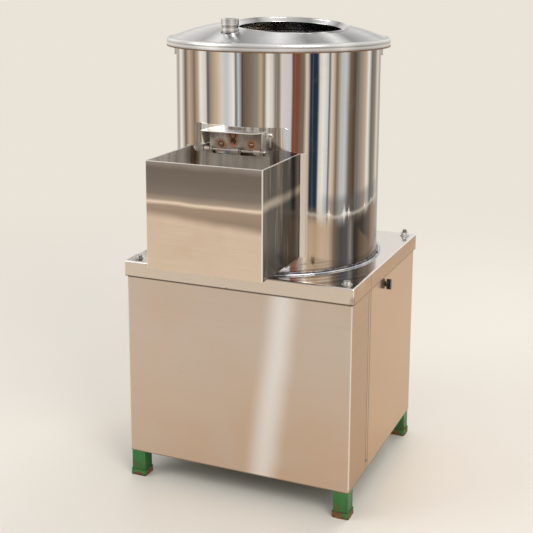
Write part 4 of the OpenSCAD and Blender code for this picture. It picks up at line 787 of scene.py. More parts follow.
def moulded(name, colour, rough=0.35):
    """Moulded plastic with a fine spark texture and pale scuffs."""
    m = Shader(name)
    grain = m.noise(1300.0, 2.0, 0.5)
    cloud = m.noise(60.0, 4.0, 0.6)
    line = scratches(m, 40.0, 3.1)
    tone = m.mix(cloud.step(0.35, 0.75) * 0.4, colour, toned(colour, 1.5, 0.01))
    tone = m.mix(line * 0.4, tone, toned(colour, 2.5, 0.1))
    gloss = rough + (cloud - 0.5) * 0.2 + line * 0.2
    cuts = m.bump(grain * 0.5 - line * 0.4, 0.2, 0.0002)
    return m.surface(tone, gloss, cuts)


def edging_finish(name, colour):
    """Brown strip under the lid, standing in for the painted shade and reflection under the rim: patchy and a
    little glossy.
    """
    m = Shader(name)
    patch = m.noise(38.0, 6.0, 0.7, 0.4)
    fine = m.noise((300.0, 300.0, 900.0), 3.0, 0.6)
    tone = m.mix(patch.step(0.3, 0.7), shade(58, 38, 24), colour)
    tone = m.mix(fine.step(0.5, 0.75) * 0.5, tone, shade(176, 134, 88))
    gloss = 0.5 + (patch - 0.5) * 0.4
    return m.surface(tone, gloss, m.bump(patch + fine * 0.4, 0.5, 0.0008))


def weld_finish(name):
    """Weld metal: rippled, straw and blue where the heat was."""
    m = Shader(name)
    ripple = m.noise(420.0, 3.0, 0.6)
    heat = m.noise(120.0, 4.0, 0.6)
    tone = m.ramp(heat.step(0.3, 0.7), [
        (0.0, shade(164, 166, 170)), (0.45, shade(140, 124, 102)), (0.7, shade(112, 112, 132)),
        (1.0, shade(90, 84, 80)),
    ])
    gloss = 0.34 + (ripple - 0.5) * 0.3
    return m.surface(tone, gloss, m.bump(ripple, 0.5, 0.0006), 0.95)


def fold_finish(name):
    """Bright steel of a folded edge, rubbed smooth by hands and produce."""
    m = Shader(name)
    rub = m.noise((30.0, 30.0, 90.0), 4.0, 0.6)
    fine = m.noise(500.0, 3.0, 0.6)
    tone = m.mix(rub.step(0.35, 0.7), shade(188, 184, 178), shade(244, 243, 240))
    tone = m.mix(fine.step(0.6, 0.75) * 0.3, tone, shade(140, 130, 118))
    gloss = 0.18 + (rub - 0.5) * 0.2
    return m.surface(tone, gloss, m.bump(fine, 0.15, 0.0003), 1.0)


# Modelling


def clear_selection():
    """Leaves edit mode with nothing selected."""
    if bpy.context.mode != "OBJECT":
        bpy.ops.object.mode_set(mode="OBJECT")
    bpy.ops.object.select_all(action="DESELECT")


def select_only(piece):
    """Selects one piece and makes it active."""
    clear_selection()
    piece.select_set(True)
    bpy.context.view_layer.objects.active = piece


def named(name):
    """The primitive just added, under its own name."""
    piece = bpy.context.active_object
    piece.name = name
    piece.data.name = name
    return piece


def pick(mode, test):
    """In edit mode, selects the faces, edges or vertices that pass the test.

    The test is given each one's middle and its normal, or for an edge the way that it runs.
    """
    piece = bpy.context.edit_object
    bpy.ops.mesh.select_all(action="DESELECT")
    bpy.ops.mesh.select_mode(type=mode)
    mesh = bmesh.from_edit_mesh(piece.data)
    for item in {"FACE": mesh.faces, "EDGE": mesh.edges, "VERT": mesh.verts}[mode]:
        if mode == "FACE":
            middle, normal = item.calc_center_median(), item.normal
        elif mode == "EDGE":
            middle = (item.verts[0].co + item.verts[1].co) / 2
            normal = (item.verts[1].co - item.verts[0].co).normalized()
        else:
            middle, normal = item.co, item.normal
        if test(piece.matrix_world @ middle, normal):
            item.select_set(True)
    mesh.select_flush_mode()
    bmesh.update_edit_mesh(piece.data)


def apply_all(piece):
    """Applies each modifier in turn."""
    bpy.context.view_layer.objects.active = piece
    for modifier in list(piece.modifiers):
        bpy.ops.object.modifier_apply(modifier=modifier.name)


def roughen(piece, name, grain, depth, strength, level):
    """Pushes a piece's surface in and out by a cloudy texture."""
    clouds = bpy.data.textures.new(name, "CLOUDS")
    clouds.noise_scale = grain
    clouds.noise_depth = depth
    push = piece.modifiers.new(name, "DISPLACE")
    push.texture = clouds
    push.texture_coords = "LOCAL"
    push.strength = strength
    push.mid_level = level
    apply_all(piece)


def settle(piece, body, material, angle=35.0):
    """Ends a piece: outward faces, smooth shading up to an angle, its finish and the body it rides on."""
    select_only(piece)
    bpy.ops.object.mode_set(mode="EDIT")
    bpy.ops.mesh.select_mode(type="VERT")
    bpy.ops.mesh.select_all(action="SELECT")
    bpy.ops.mesh.remove_doubles(threshold=HAIR)
    bpy.ops.mesh.normals_make_consistent(inside=False)
    bpy.ops.object.mode_set(mode="OBJECT")
    bpy.ops.object.transform_apply(location=True, rotation=True, scale=True)
    bpy.ops.object.shade_smooth_by_angle(angle=math.radians(angle))
    piece.data.materials.clear()
    piece.data.materials.append(material)
    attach(piece, body)
    clear_selection()


def copies(piece, offsets):
    """Copies of a piece, each with its own mesh, moved by each offset."""
    made = []
    for count, offset in enumerate(offsets):
        select_only(piece)
        bpy.ops.object.duplicate(linked=False)
        twin = bpy.context.active_object
        twin.name = f"{piece.name}_{count + 2:02d}"
        twin.data.name = twin.name
        bpy.ops.transform.translate(value=offset)
        made.append(twin)
    return made


def dress(material, *names):
    """Gives CAD nodes a finish, through their objects' own material slots."""
    for name in names:
        node = NODES[name]
        if not node.material_slots:
            node.data.materials.append(material)
        for slot in node.material_slots:
            slot.link = "OBJECT"
            slot.material = material


# Sizes and colours that a user would change


class PeelerColours(bpy.types.PropertyGroup):
    """Colours of the painted, plastic and steel parts."""

    paint: bpy.props.FloatVectorProperty(
        name="Frame paint", description="Enamel on the legs and rails",
        subtype="COLOR", size=3, min=0.0, max=1.0, default=shade(44, 122, 54),
    )
    panel: bpy.props.FloatVectorProperty(
        name="Panel steel", description="Brushed steel of the cabinet",
        subtype="COLOR", size=3, min=0.0, max=1.0, default=shade(204, 189, 176),
    )
    # The sides' colour has the warm room painted in as a reflection
    side: bpy.props.FloatVectorProperty(
        name="Side steel", description="Steel of the cabinet's sides",
        subtype="COLOR", size=3, min=0.0, max=1.0, default=shade(197, 161, 124),
    )
    lid: bpy.props.FloatVectorProperty(
        name="Lid steel", description="Spun steel of the lid",
        subtype="COLOR", size=3, min=0.0, max=1.0, default=shade(212, 211, 212),
    )
    motor: bpy.props.FloatVectorProperty(
        name="Motor paint", description="Paint of the motor",
        subtype="COLOR", size=3, min=0.0, max=1.0, default=shade(52, 84, 120),
    )
    # The edging's brown stands in for painted shade and reflection under the lid's rim
    edging: bpy.props.FloatVectorProperty(
        name="Lid edging", description="Strip under the lid's rim",
        subtype="COLOR", size=3, min=0.0, max=1.0, default=shade(124, 86, 52),
    )


class PeelerDetails(bpy.types.PropertyGroup):
    """Sizes of the pieces that are modelled here."""

    weld: bpy.props.FloatProperty(
        name="Weld bead", description="Radius of a weld bead",
        subtype="DISTANCE", unit="LENGTH", default=0.0016, min=0.0005, max=0.004,
    )
    louvre_out: bpy.props.FloatProperty(
        name="Louvre depth", description="How far a louvre stands out from the back panel",
        subtype="DISTANCE", unit="LENGTH", default=0.007, min=0.003, max=0.012,
    )
    thread_pitch: bpy.props.FloatProperty(
        name="Thread pitch", description="Pitch of the thread on the rear stud",
        subtype="DISTANCE", unit="LENGTH", default=0.0015, min=0.0008, max=0.003,
    )
    fold: bpy.props.FloatProperty(
        name="Box edge fold", description="Radius of the folded edge of the chute box",
        subtype="DISTANCE", unit="LENGTH", default=0.0011, min=0.0006, max=0.002,
    )
    grain: bpy.props.FloatProperty(
        name="Abrasive relief", description="Height of the abrasive's lumps",
        subtype="DISTANCE", unit="LENGTH", default=0.0016, min=0.0, max=0.004,
    )


class PeelerStage(bpy.types.PropertyGroup):
    """Camera and floor."""

    lens: bpy.props.FloatProperty(
        name="Lens", description="Focal length on a 36 mm sensor", subtype="DISTANCE_CAMERA", default=69.977,
    )
    yaw: bpy.props.FloatProperty(
        name="Turn", description="Camera's turn about the upright axis",
        subtype="ANGLE", default=math.radians(22.8314),
    )
    pitch: bpy.props.FloatProperty(
        name="Tilt", description="How far the camera looks down",
        subtype="ANGLE", default=math.radians(10.8001),
    )
    roll: bpy.props.FloatProperty(
        name="Roll", description="Camera's roll", subtype="ANGLE", default=math.radians(0.263),
    )
    lift: bpy.props.FloatProperty(
        name="Shift", description="Vertical lens shift, as a share of the frame", default=-0.18762,
    )
    eye: bpy.props.FloatVectorProperty(
        name="Eye", description="Where the camera stands",
        subtype="TRANSLATION", unit="LENGTH", size=3, default=(0.98476, -2.36358, 1.28563),
    )
    floor: bpy.props.FloatVectorProperty(
        name="Floor", description="Colour of the plain floor",
        subtype="COLOR", size=3, min=0.0, max=1.0, default=shade(236, 229, 218),
    )


# Operators


class PEELER_OT_frame_finish(bpy.types.Operator):
    """Paints the legs, rails and beams, and rusts the foot caps"""

    bl_idname = "peeler.frame_finish"
    bl_label = "Finish Frame"

    def execute(self, context):
        paint = tuple(context.scene.peeler_colours.paint)
        dress(green_paint("green_enamel", paint), "legs", "frame_rails", "cross_beams", "motor_cradle")
        dress(rusty_foot("rusty_foot", paint), "foot_caps")
        dress(machine_paint("grey_plate_paint", shade(92, 94, 96)), "carrier_plate")
        return {"FINISHED"}


class PEELER_OT_cabinet_finish(bpy.types.Operator):
    """Gives the cabinet panels, tray and their fasteners brushed steel"""

    bl_idname = "peeler.cabinet_finish"
    bl_label = "Finish Cabinet"

    def execute(self, context):
        colours = context.scene.peeler_colours
        panel, side = tuple(colours.panel), tuple(colours.side)
        # Painted shade along the seams, each an axis, a place and a half width: under the tray, where it is
        # partly dirt, and beside the front cover
        under_tray = (2, TRAY_LOW.z - 0.001, 0.0035)
        # The front cover: a painted upright highlight, and the warm room painted in as a reflection on its
        # wrapped side
        front = brushed_steel(
            "front_cover_steel", panel, LEVEL_GRAIN, shade(206, 174, 144), 0.3, "front_cover",
            highlight_band=(AXIS_X + 0.0986, 0.055, shade(246, 244, 244)), lines=(under_tray, (1, SEAM_Y, 0.0065)),
            beside=(half_width("front_cover"), toned(side, 0.86)), sink=(0.5, 0.14),
        )
        dress(front, "front_cover")
        # The right panel in the side colour, the warm room painted in as a reflection; dark painted shade
        # along both side panels' folds
        for name, base, warm in (
            ("left_panel", panel, shade(204, 178, 150)), ("right_panel", side, shade(203, 164, 122)),
        ):
            steel = brushed_steel(
                f"{name}_steel", base, LEVEL_GRAIN, warm, 0.24, name, rim=shade(96, 78, 60),
                lines=(under_tray, (1, SEAM_Y, 0.0034)), sink=(0.3, 0.12),
            )
            dress(steel, name)
        rear = brushed_steel(
            "back_panel_steel", panel, LEVEL_GRAIN, shade(206, 186, 162), 0.34, "back_panel"
        )
        dress(rear, "back_panel")
        dress(mirror_tray("tray_steel", shade(216, 202, 188), shade(184, 146, 106)), "top_tray")
        dress(plated_bolt("zinc_bolt", shade(242, 241, 238)), "tray_bolts")
        dress(bare_bolt("drive_bolt", shade(196, 194, 188), 0.16), "motor_bolts", "housing_bolts")
        dress(bare_bolt("small_screw", shade(148, 144, 138), 0.3), "panel_screws", "flange_bolts")
        return {"FINISHED"}


class PEELER_OT_drum_finish(bpy.types.Operator):
    """Polishes the drum and gives its base, floor and liner their finishes"""

    bl_idname = "peeler.drum_finish"
    bl_label = "Finish Drum"

    def execute(self, context):
        dress(polished_drum("polished_drum"), "drum_shell")
        dress(rolled_flange("flange_steel"), "drum_flange")
        dress(bare_bolt("clip_steel", shade(190, 188, 184), 0.1, 0.24), "rim_clips")
        floor = brushed_steel(
            "floor_steel", shade(168, 166, 160), (90.0, 90.0, 90.0), shade(140, 124, 100), 0.4, stain=0.6
        )
        dress(floor, "drum_floor")
        dress(abrasive("liner_abrasive", shade(30, 30, 31)), "drum_liner")
        return {"FINISHED"}


class PEELER_OT_discharge_finish(bpy.types.Operator):
    """Finishes the chute box, door, hood, hinge plate and catch"""

    bl_idname = "peeler.discharge_finish"
    bl_label = "Finish Discharge"

    def execute(self, context):
        dress(chute_finish("chute_steel"), "chute_box")
        sill = brushed_steel("sill_steel", shade(150, 142, 132), CROSS_GRAIN, shade(120, 104, 88), 0.3)
        dress(sill, "chute_sill")
        door = brushed_steel(
            "door_steel", shade(206, 200, 192), (60.0, 60.0, 2.0), shade(170, 150, 128), 0.24,
            metal=0.6, depth=0.35,
        )
        dress(door, "discharge_door")
        dress(polished_sheet("door_frame_steel", "door_frame"), "door_frame")
        hood = brushed_steel(
            "hood_steel", shade(240, 239, 236), CROSS_GRAIN, shade(180, 164, 146), 0.34, "door_hood"
        )
        dress(hood, "door_hood")
        catch = brushed_steel("catch_steel", shade(210, 206, 200), EVEN_GRAIN, shade(160, 148, 132), 0.2)
        dress(catch, "drop_catch", "catch_pivot", "hinge_rod")
        dress(header_finish("hinge_plate_steel"), "hinge_header")
        dress(bare_bolt("rusty_bolt", shade(168, 140, 112), 0.42, 0.4), "header_bolts")
        dress(rubber("gasket_rubber", shade(26, 25, 24)), "door_gasket")
        return {"FINISHED"}


class PEELER_OT_lid_finish(bpy.types.Operator):
    """Finishes the spun lid, feed collar, edging and water inlet"""

    bl_idname = "peeler.lid_finish"
    bl_label = "Finish Lid"

    def execute(self, context):
        colours = context.scene.peeler_colours
        lid = tuple(colours.lid)
        pale, dim, dull = (toned(lid, share) for share in (1.4, 0.66, 0.42))
        # Painted highlights and shade round the dome and the inlet, by degrees from the front
        dome = [
            (-60, lid), (-46, pale), (-31, lid), (-21, dim), (-10, WHITE), (1, dull), (12, dim), (22, pale),
            (36, dull), (46, dim), (53, WHITE), (62, dull), (74, dim), (86, lid), (98, dim), (118, pale),
            (140, dull), (158, WHITE), (180, dim), (202, lid), (222, WHITE), (240, dull), (262, lid),
            (280, pale), (300, lid),
        ]
        neck = [
            (-60, pale), (-44, dull), (-26, WHITE), (-8, lid), (8, dull), (20, dim), (34, WHITE), (48, lid),
            (62, dull), (80, pale), (98, dim), (130, WHITE), (170, dull), (210, pale), (250, dull),
            (280, lid), (300, pale),
        ]
        # Painted highlights and shade up the dome's rounded edge and the inlet's groove, by millimetres
        nose = [
            (0, dull), (3, lid), (6, pale), (8.5, dull), (11, lid), (14, WHITE), (17, WHITE), (19, dim),
            (22, lid),
        ]
        groove = [
            (0, dull), (4, pale), (8, dull), (12.2, DARK), (13.6, DARK), (14.2, WHITE), (16, lid),
            (27, dim), (28, WHITE), (29, WHITE),
        ]
        edge = (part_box("lid_dome")[0].z, half_width("lid_dome") - 0.0125, 0.65, nose)
        socket = (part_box("water_inlet")[1].z - 0.029, 0.0, 0.5, groove)
        dress(spun_lid("lid_steel", (AXIS_X, AXIS_Y), dome, 0.24, levels=edge), "lid_dome")
        dress(spun_lid("collar_steel", centre_of("feed_collar"), dome, 0.14), "feed_collar")
        dress(spun_lid("inlet_steel", centre_of("water_inlet"), neck, 0.2, 2.0, socket), "water_inlet")
        dress(edging_finish("lid_edging", tuple(colours.edging)), "lid_edging")
        return {"FINISHED"}


class PEELER_OT_drive_finish(bpy.types.Operator):
    """Finishes the turntable, bearings, belt drive and motor"""

    bl_idname = "peeler.drive_finish"
    bl_label = "Finish Drive"

    def execute(self, context):
        disc = brushed_steel(
            "disc_steel", shade(150, 148, 144), (80.0, 80.0, 80.0), shade(120, 104, 84), 0.42, stain=0.6
        )
        dress(disc, "turntable_disc")
        turned = brushed_steel("nut_steel", shade(196, 195, 192), EVEN_GRAIN, shade(160, 150, 136), 0.2)
        dress(turned, "hub_nut", "main_shaft", "motor_shaft")
        dress(
            bare_bolt("bearing_steel", shade(188, 190, 194), 0.02, 0.16),
            "bearing_outer_rings", "bearing_inner_rings", "bearing_balls",
        )
        cast = machine_paint("cast_grey", shade(86, 88, 90), 0.55, 1.0)
        dress(cast, "bearing_housing", "driven_pulley", "motor_pulley")
        dress(machine_paint("motor_paint", tuple(context.scene.peeler_colours.motor)), "motor")
        dress(rubber("belt_rubber", shade(30, 29, 28)), "v_belt", "shaft_seal")
        dress(abrasive("table_abrasive", shade(48, 47, 46)), "turntable_grit")
        return {"FINISHED"}


class PEELER_OT_fitting_finish(bpy.types.Operator):
    """Finishes the switch, cable gland and drain pipe"""

    bl_idname = "peeler.fitting_finish"
    bl_label = "Finish Fittings"

    def execute(self, context):
        dress(moulded("knob_plastic", shade(20, 20, 21), 0.3), "switch_knob")
        black = moulded("switch_plastic", shade(26, 26, 27), 0.5)
        dress(black, "switch_body", "cable_gland", "switch_spindle")
        dress(bare_bolt("knob_screw", shade(206, 204, 200), 0.05, 0.2), "knob_screw")
        dress(moulded("drain_plastic", shade(138, 138, 134), 0.5), "drain_pipe")
        return {"FINISHED"}


class PEELER_OT_weld_beads(bpy.types.Operator):
    """Models the welds round the water inlet, round the drum's foot and down the drum's back"""

    bl_idname = "peeler.weld_beads"
    bl_label = "Model Weld Beads"

    def execute(self, context):
        bead = context.scene.peeler_details.weld
        metal = weld_finish("weld_metal")
        self.inlet(bead, metal)
        self.drum_foot(bead, metal)
        self.drum_seam(bead, metal)
        return {"FINISHED"}

    def inlet(self, bead, metal):
        """The rippled weld round the water inlet, leaning as the dome under it does."""
        # How far the weld lies below the inlet's top, and the middle of the dome's curve below the weld
        below_top, curve_below = 0.0296, 0.86
        sections, ripple_out, ripple_up, jitter = 96, 0.0004, 0.0003, 0.00025
        across, along = centre_of("water_inlet")
        centre = Vector((across, along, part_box("water_inlet")[1].z - below_top))
        clear_selection()
        bpy.ops.mesh.primitive_torus_add(
            major_radius=INLET_NECK + bead * 0.4, minor_radius=bead, major_segments=sections,
            minor_segments=12, location=centre,
        )
        ring = named("inlet_weld")
        bpy.ops.object.mode_set(mode="EDIT")
        # Every other section stands out a little, as the ripples of a weld do
        for step in range(0, sections, 2):
            turn = 2 * math.pi * step / sections
            way = Vector((math.cos(turn), math.sin(turn)))
            pick("VERT", lambda p, n: ((p - centre).to_2d().normalized() - way).length < 0.02)
            bpy.ops.transform.translate(value=(way.x * ripple_out, way.y * ripple_out, ripple_up))
        bpy.ops.mesh.select_all(action="SELECT")
        bpy.ops.transform.vertex_random(offset=jitter, seed=4)
        bpy.ops.object.mode_set(mode="OBJECT")
        lean = math.atan2(math.hypot(across - AXIS_X, along - AXIS_Y), curve_below)
        outward = math.atan2(along - AXIS_Y, across - AXIS_X)
        tilt = Matrix.Rotation(lean, 4, Vector((-math.sin(outward), math.cos(outward), 0.0)))
        about = Matrix.Translation(centre) @ tilt @ Matrix.Translation(-centre)
        ring.matrix_world = about @ ring.matrix_world
        settle(ring, "lid", metal, 60.0)

    def drum_foot(self, bead, metal):
        """The uneven weld where the drum stands on its flange."""
        clear_selection()
        bpy.ops.mesh.primitive_torus_add(
            major_radius=DRUM_R + bead * 0.3, minor_radius=bead * 1.3, major_segments=420, minor_segments=8,
            location=(AXIS_X, AXIS_Y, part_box("drum_shell")[0].z + bead * 0.7),
        )
        foot = named("drum_foot_weld")
        bpy.ops.object.transform_apply(location=True, rotation=True, scale=True)
        roughen(foot, "weld_drips", 0.006, 1, bead * 2.2, 0.45)
        settle(foot, "cabinet", metal, 60.0)

    def drum_seam(self, bead, metal):
        """The drum's long seam, down its back and dressed nearly flat."""
        low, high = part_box("drum_shell")
        spare, drop, flatness = 0.034, 0.006, 0.45
        clear_selection()
        bpy.ops.mesh.primitive_cylinder_add(
            vertices=10, radius=bead, depth=high.z - low.z - spare,
            location=(AXIS_X, AXIS_Y + DRUM_R, (low.z + high.z) / 2 - drop),
        )
        seam = named("drum_seam_weld")
        bpy.ops.object.mode_set(mode="EDIT")
        pick("FACE", lambda p, n: abs(n.z) < 0.5)
        bpy.ops.mesh.subdivide(number_cuts=70)
        bpy.ops.mesh.select_all(action="SELECT")
        wall = (AXIS_X, AXIS_Y + DRUM_R, 0.0)
        bpy.ops.transform.resize(value=(1.0, flatness, 1.0), center_override=wall)
        bpy.ops.transform.vertex_random(offset=bead * 0.16, seed=9)
        bpy.ops.object.mode_set(mode="OBJECT")
        settle(seam, "cabinet", metal, 60.0)


class PEELER_OT_louvres(bpy.types.Operator):
    """Models a pressed hood over each air slot of the back panel"""

    bl_idname = "peeler.louvres"
    bl_label = "Model Louvres"

    def execute(self, context):
        out = context.scene.peeler_details.louvre_out
        low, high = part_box("back_panel")
        long, tall, pitch, rows, columns = 0.138, 0.0125, 0.0156, 7, 2
        field_top, raised, corner, sheet = 0.542, 0.002, 0.0022, 0.0012
        reach = half_width("back_panel") * 0.45
        lowest = (low.z + field_top) / 2 - rows // 2 * pitch + raised
        first = Vector((AXIS_X - reach, high.y + out / 2, lowest))
        clear_selection()
        bpy.ops.mesh.primitive_cube_add(size=1.0, location=first, scale=(long, out, tall))
        hood = named("louvre_hood")
        bpy.ops.object.transform_apply(location=True, rotation=True, scale=True)
        bpy.ops.object.mode_set(mode="EDIT")
        clear = 0.0005
        left, right = first.x - long / 2 + HAIR, first.x + long / 2 - HAIR
        outer, top, foot = high.y + out - HAIR, first.z + tall / 2 - HAIR, first.z - tall / 2 + clear
        pick("EDGE", lambda p, n: p.y > outer and p.z > top and abs(n.x) > 0.9)
        bpy.ops.mesh.bevel(offset=out * 0.93, segments=7, profile=0.5, affect="EDGES")
        pick("EDGE", lambda p, n: not left <= p.x <= right and p.y > high.y + clear and p.z > foot)
        bpy.ops.mesh.bevel(offset=corner, segments=4, profile=0.5, affect="EDGES")
        # Open at the back and below, as a pressed louvre is
        pick("FACE", lambda p, n: n.y < -0.9 or n.z < -0.9)
        bpy.ops.mesh.delete(type="FACE")
        bpy.ops.object.mode_set(mode="OBJECT")
        wall = hood.modifiers.new("wall", "SOLIDIFY")
        wall.thickness = sheet
        wall.offset = -1.0
        apply_all(hood)
        offsets = [
            (column * reach * 2, 0.0, row * pitch)
            for column in range(columns) for row in range(rows) if column or row
        ]
        colour = tuple(context.scene.peeler_colours.panel)
        steel = brushed_steel("louvre_steel", colour, LEVEL_GRAIN, shade(186, 168, 146), 0.32)
        for piece in [hood] + copies(hood, offsets):
            settle(piece, "cabinet", steel)
        return {"FINISHED"}


class PEELER_OT_box_edge(bpy.types.Operator):
    """Models the folded-over top edge of the chute box"""

    bl_idname = "peeler.box_edge"
    bl_label = "Model Box Edge"

    def execute(self, context):
        low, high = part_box("chute_box")
        fold = context.scene.peeler_details.fold
        corner, front_depth = 0.0032, 0.01
        # The box's sides end where they meet the drum
        rear = AXIS_Y - math.sqrt(DRUM_R ** 2 - BOX_HALF ** 2)
        clear_selection()
        bpy.ops.mesh.primitive_plane_add(size=1.0, location=(AXIS_X, (low.y + rear) / 2, high.z - fold))
        edge = named("box_edge_fold")
        edge.scale = (BOX_HALF * 2 - fold * 2, rear - low.y - fold * 2, 1.0)
        bpy.ops.object.transform_apply(location=True, rotation=True, scale=True)
        bpy.ops.object.mode_set(mode="EDIT")
        pick("VERT", lambda p, n: p.y < low.y + front_depth)
        bpy.ops.mesh.bevel(offset=corner, segments=5, affect="VERTICES")
        last = rear - fold - HAIR
        pick("EDGE", lambda p, n: p.y > last and abs(n.x) > 0.9)
        bpy.ops.mesh.delete(type="EDGE")
        bpy.ops.object.mode_set(mode="OBJECT")
        bpy.ops.object.convert(target="CURVE")
        edge = bpy.context.active_object
        edge.data.bevel_depth = fold
        edge.data.bevel_resolution = 3
        edge.data.use_fill_caps = True
        bpy.ops.object.convert(target="MESH")
        edge = named("box_edge_fold")
        settle(edge, "cabinet", fold_finish("fold_steel"), 50.0)
        return {"FINISHED"}


class PEELER_OT_stud_thread(bpy.types.Operator):
    """Cuts the thread on the stud that stands out of the rear right-hand nut"""

    bl_idname = "peeler.stud_thread"
    bl_label = "Model Stud Thread"

    def execute(self, context):
        pitch = context.scene.peeler_details.thread_pitch
        crest, middle, deep, long, turns = 0.0055, 0.0052, 0.0012, 0.0062, 4
        root_share, crest_share = 0.86, 0.12
        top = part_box("tray_bolts")[1].z
        clear_selection()
        bpy.ops.mesh.primitive_plane_add(size=1.0, location=(0.0, 0.0, 0.0))
        thread = named("stud_thread")
        thread.scale = (deep, pitch * root_share, 1.0)
        thread.rotation_euler = (math.pi / 2, 0.0, 0.0)
        thread.location = (middle, 0.0, 0.0)
        bpy.ops.object.transform_apply(location=True, rotation=True, scale=True)
        bpy.ops.object.mode_set(mode="EDIT")
        pick("EDGE", lambda p, n: p.x > crest)
        bpy.ops.transform.resize(value=(1.0, 1.0, crest_share))
        bpy.ops.object.mode_set(mode="OBJECT")
        turn = thread.modifiers.new("turn", "SCREW")
        turn.axis = "Z"
        turn.screw_offset = pitch
        turn.iterations = turns
        turn.steps = 36
        turn.render_steps = 36
        turn.use_merge_vertices = True
        apply_all(thread)
        bpy.ops.object.mode_set(mode="EDIT")
        bpy.ops.mesh.select_mode(type="EDGE")
        bpy.ops.mesh.select_all(action="DESELECT")
        bpy.ops.mesh.select_non_manifold()
        bpy.ops.mesh.fill()
        bpy.ops.object.mode_set(mode="OBJECT")
        thread.location = (AXIS_X + LEG_X, AXIS_Y + LEG_Y, top - long)
        zinc = bare_bolt("thread_zinc", shade(188, 182, 170), 0.3, 0.34)
        settle(thread, "cabinet", zinc)
        return {"FINISHED"}


class PEELER_OT_abrasive_relief(bpy.types.Operator):
    """Gives the turntable's abrasive its lumpy cast surface"""

    bl_idname = "peeler.abrasive_relief"
    bl_label = "Model Abrasive Relief"

    def execute(self, context):
        select_only(NODES["turntable_grit"])
        bpy.ops.object.duplicate(linked=False)
        relief = named("abrasive_relief")
        relief.parent = None
        for key in list(relief.keys()):
            del relief[key]
        bpy.ops.object.mode_set(mode="EDIT")
        bpy.ops.mesh.select_all(action="SELECT")
        bpy.ops.mesh.remove_doubles(threshold=HAIR)
        bpy.ops.object.mode_set(mode="OBJECT")
        body = relief.modifiers.new("cells", "REMESH")
        body.mode = "VOXEL"
        body.voxel_size = 0.0034
        apply_all(relief)
        roughen(relief, "abrasive_lumps", 0.009, 2, context.scene.peeler_details.grain, 0.62)
        grit = abrasive("relief_abrasive", shade(52, 51, 50))
        settle(relief, "turntable", grit, 80.0)
        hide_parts("turntable_grit")
        return {"FINISHED"}


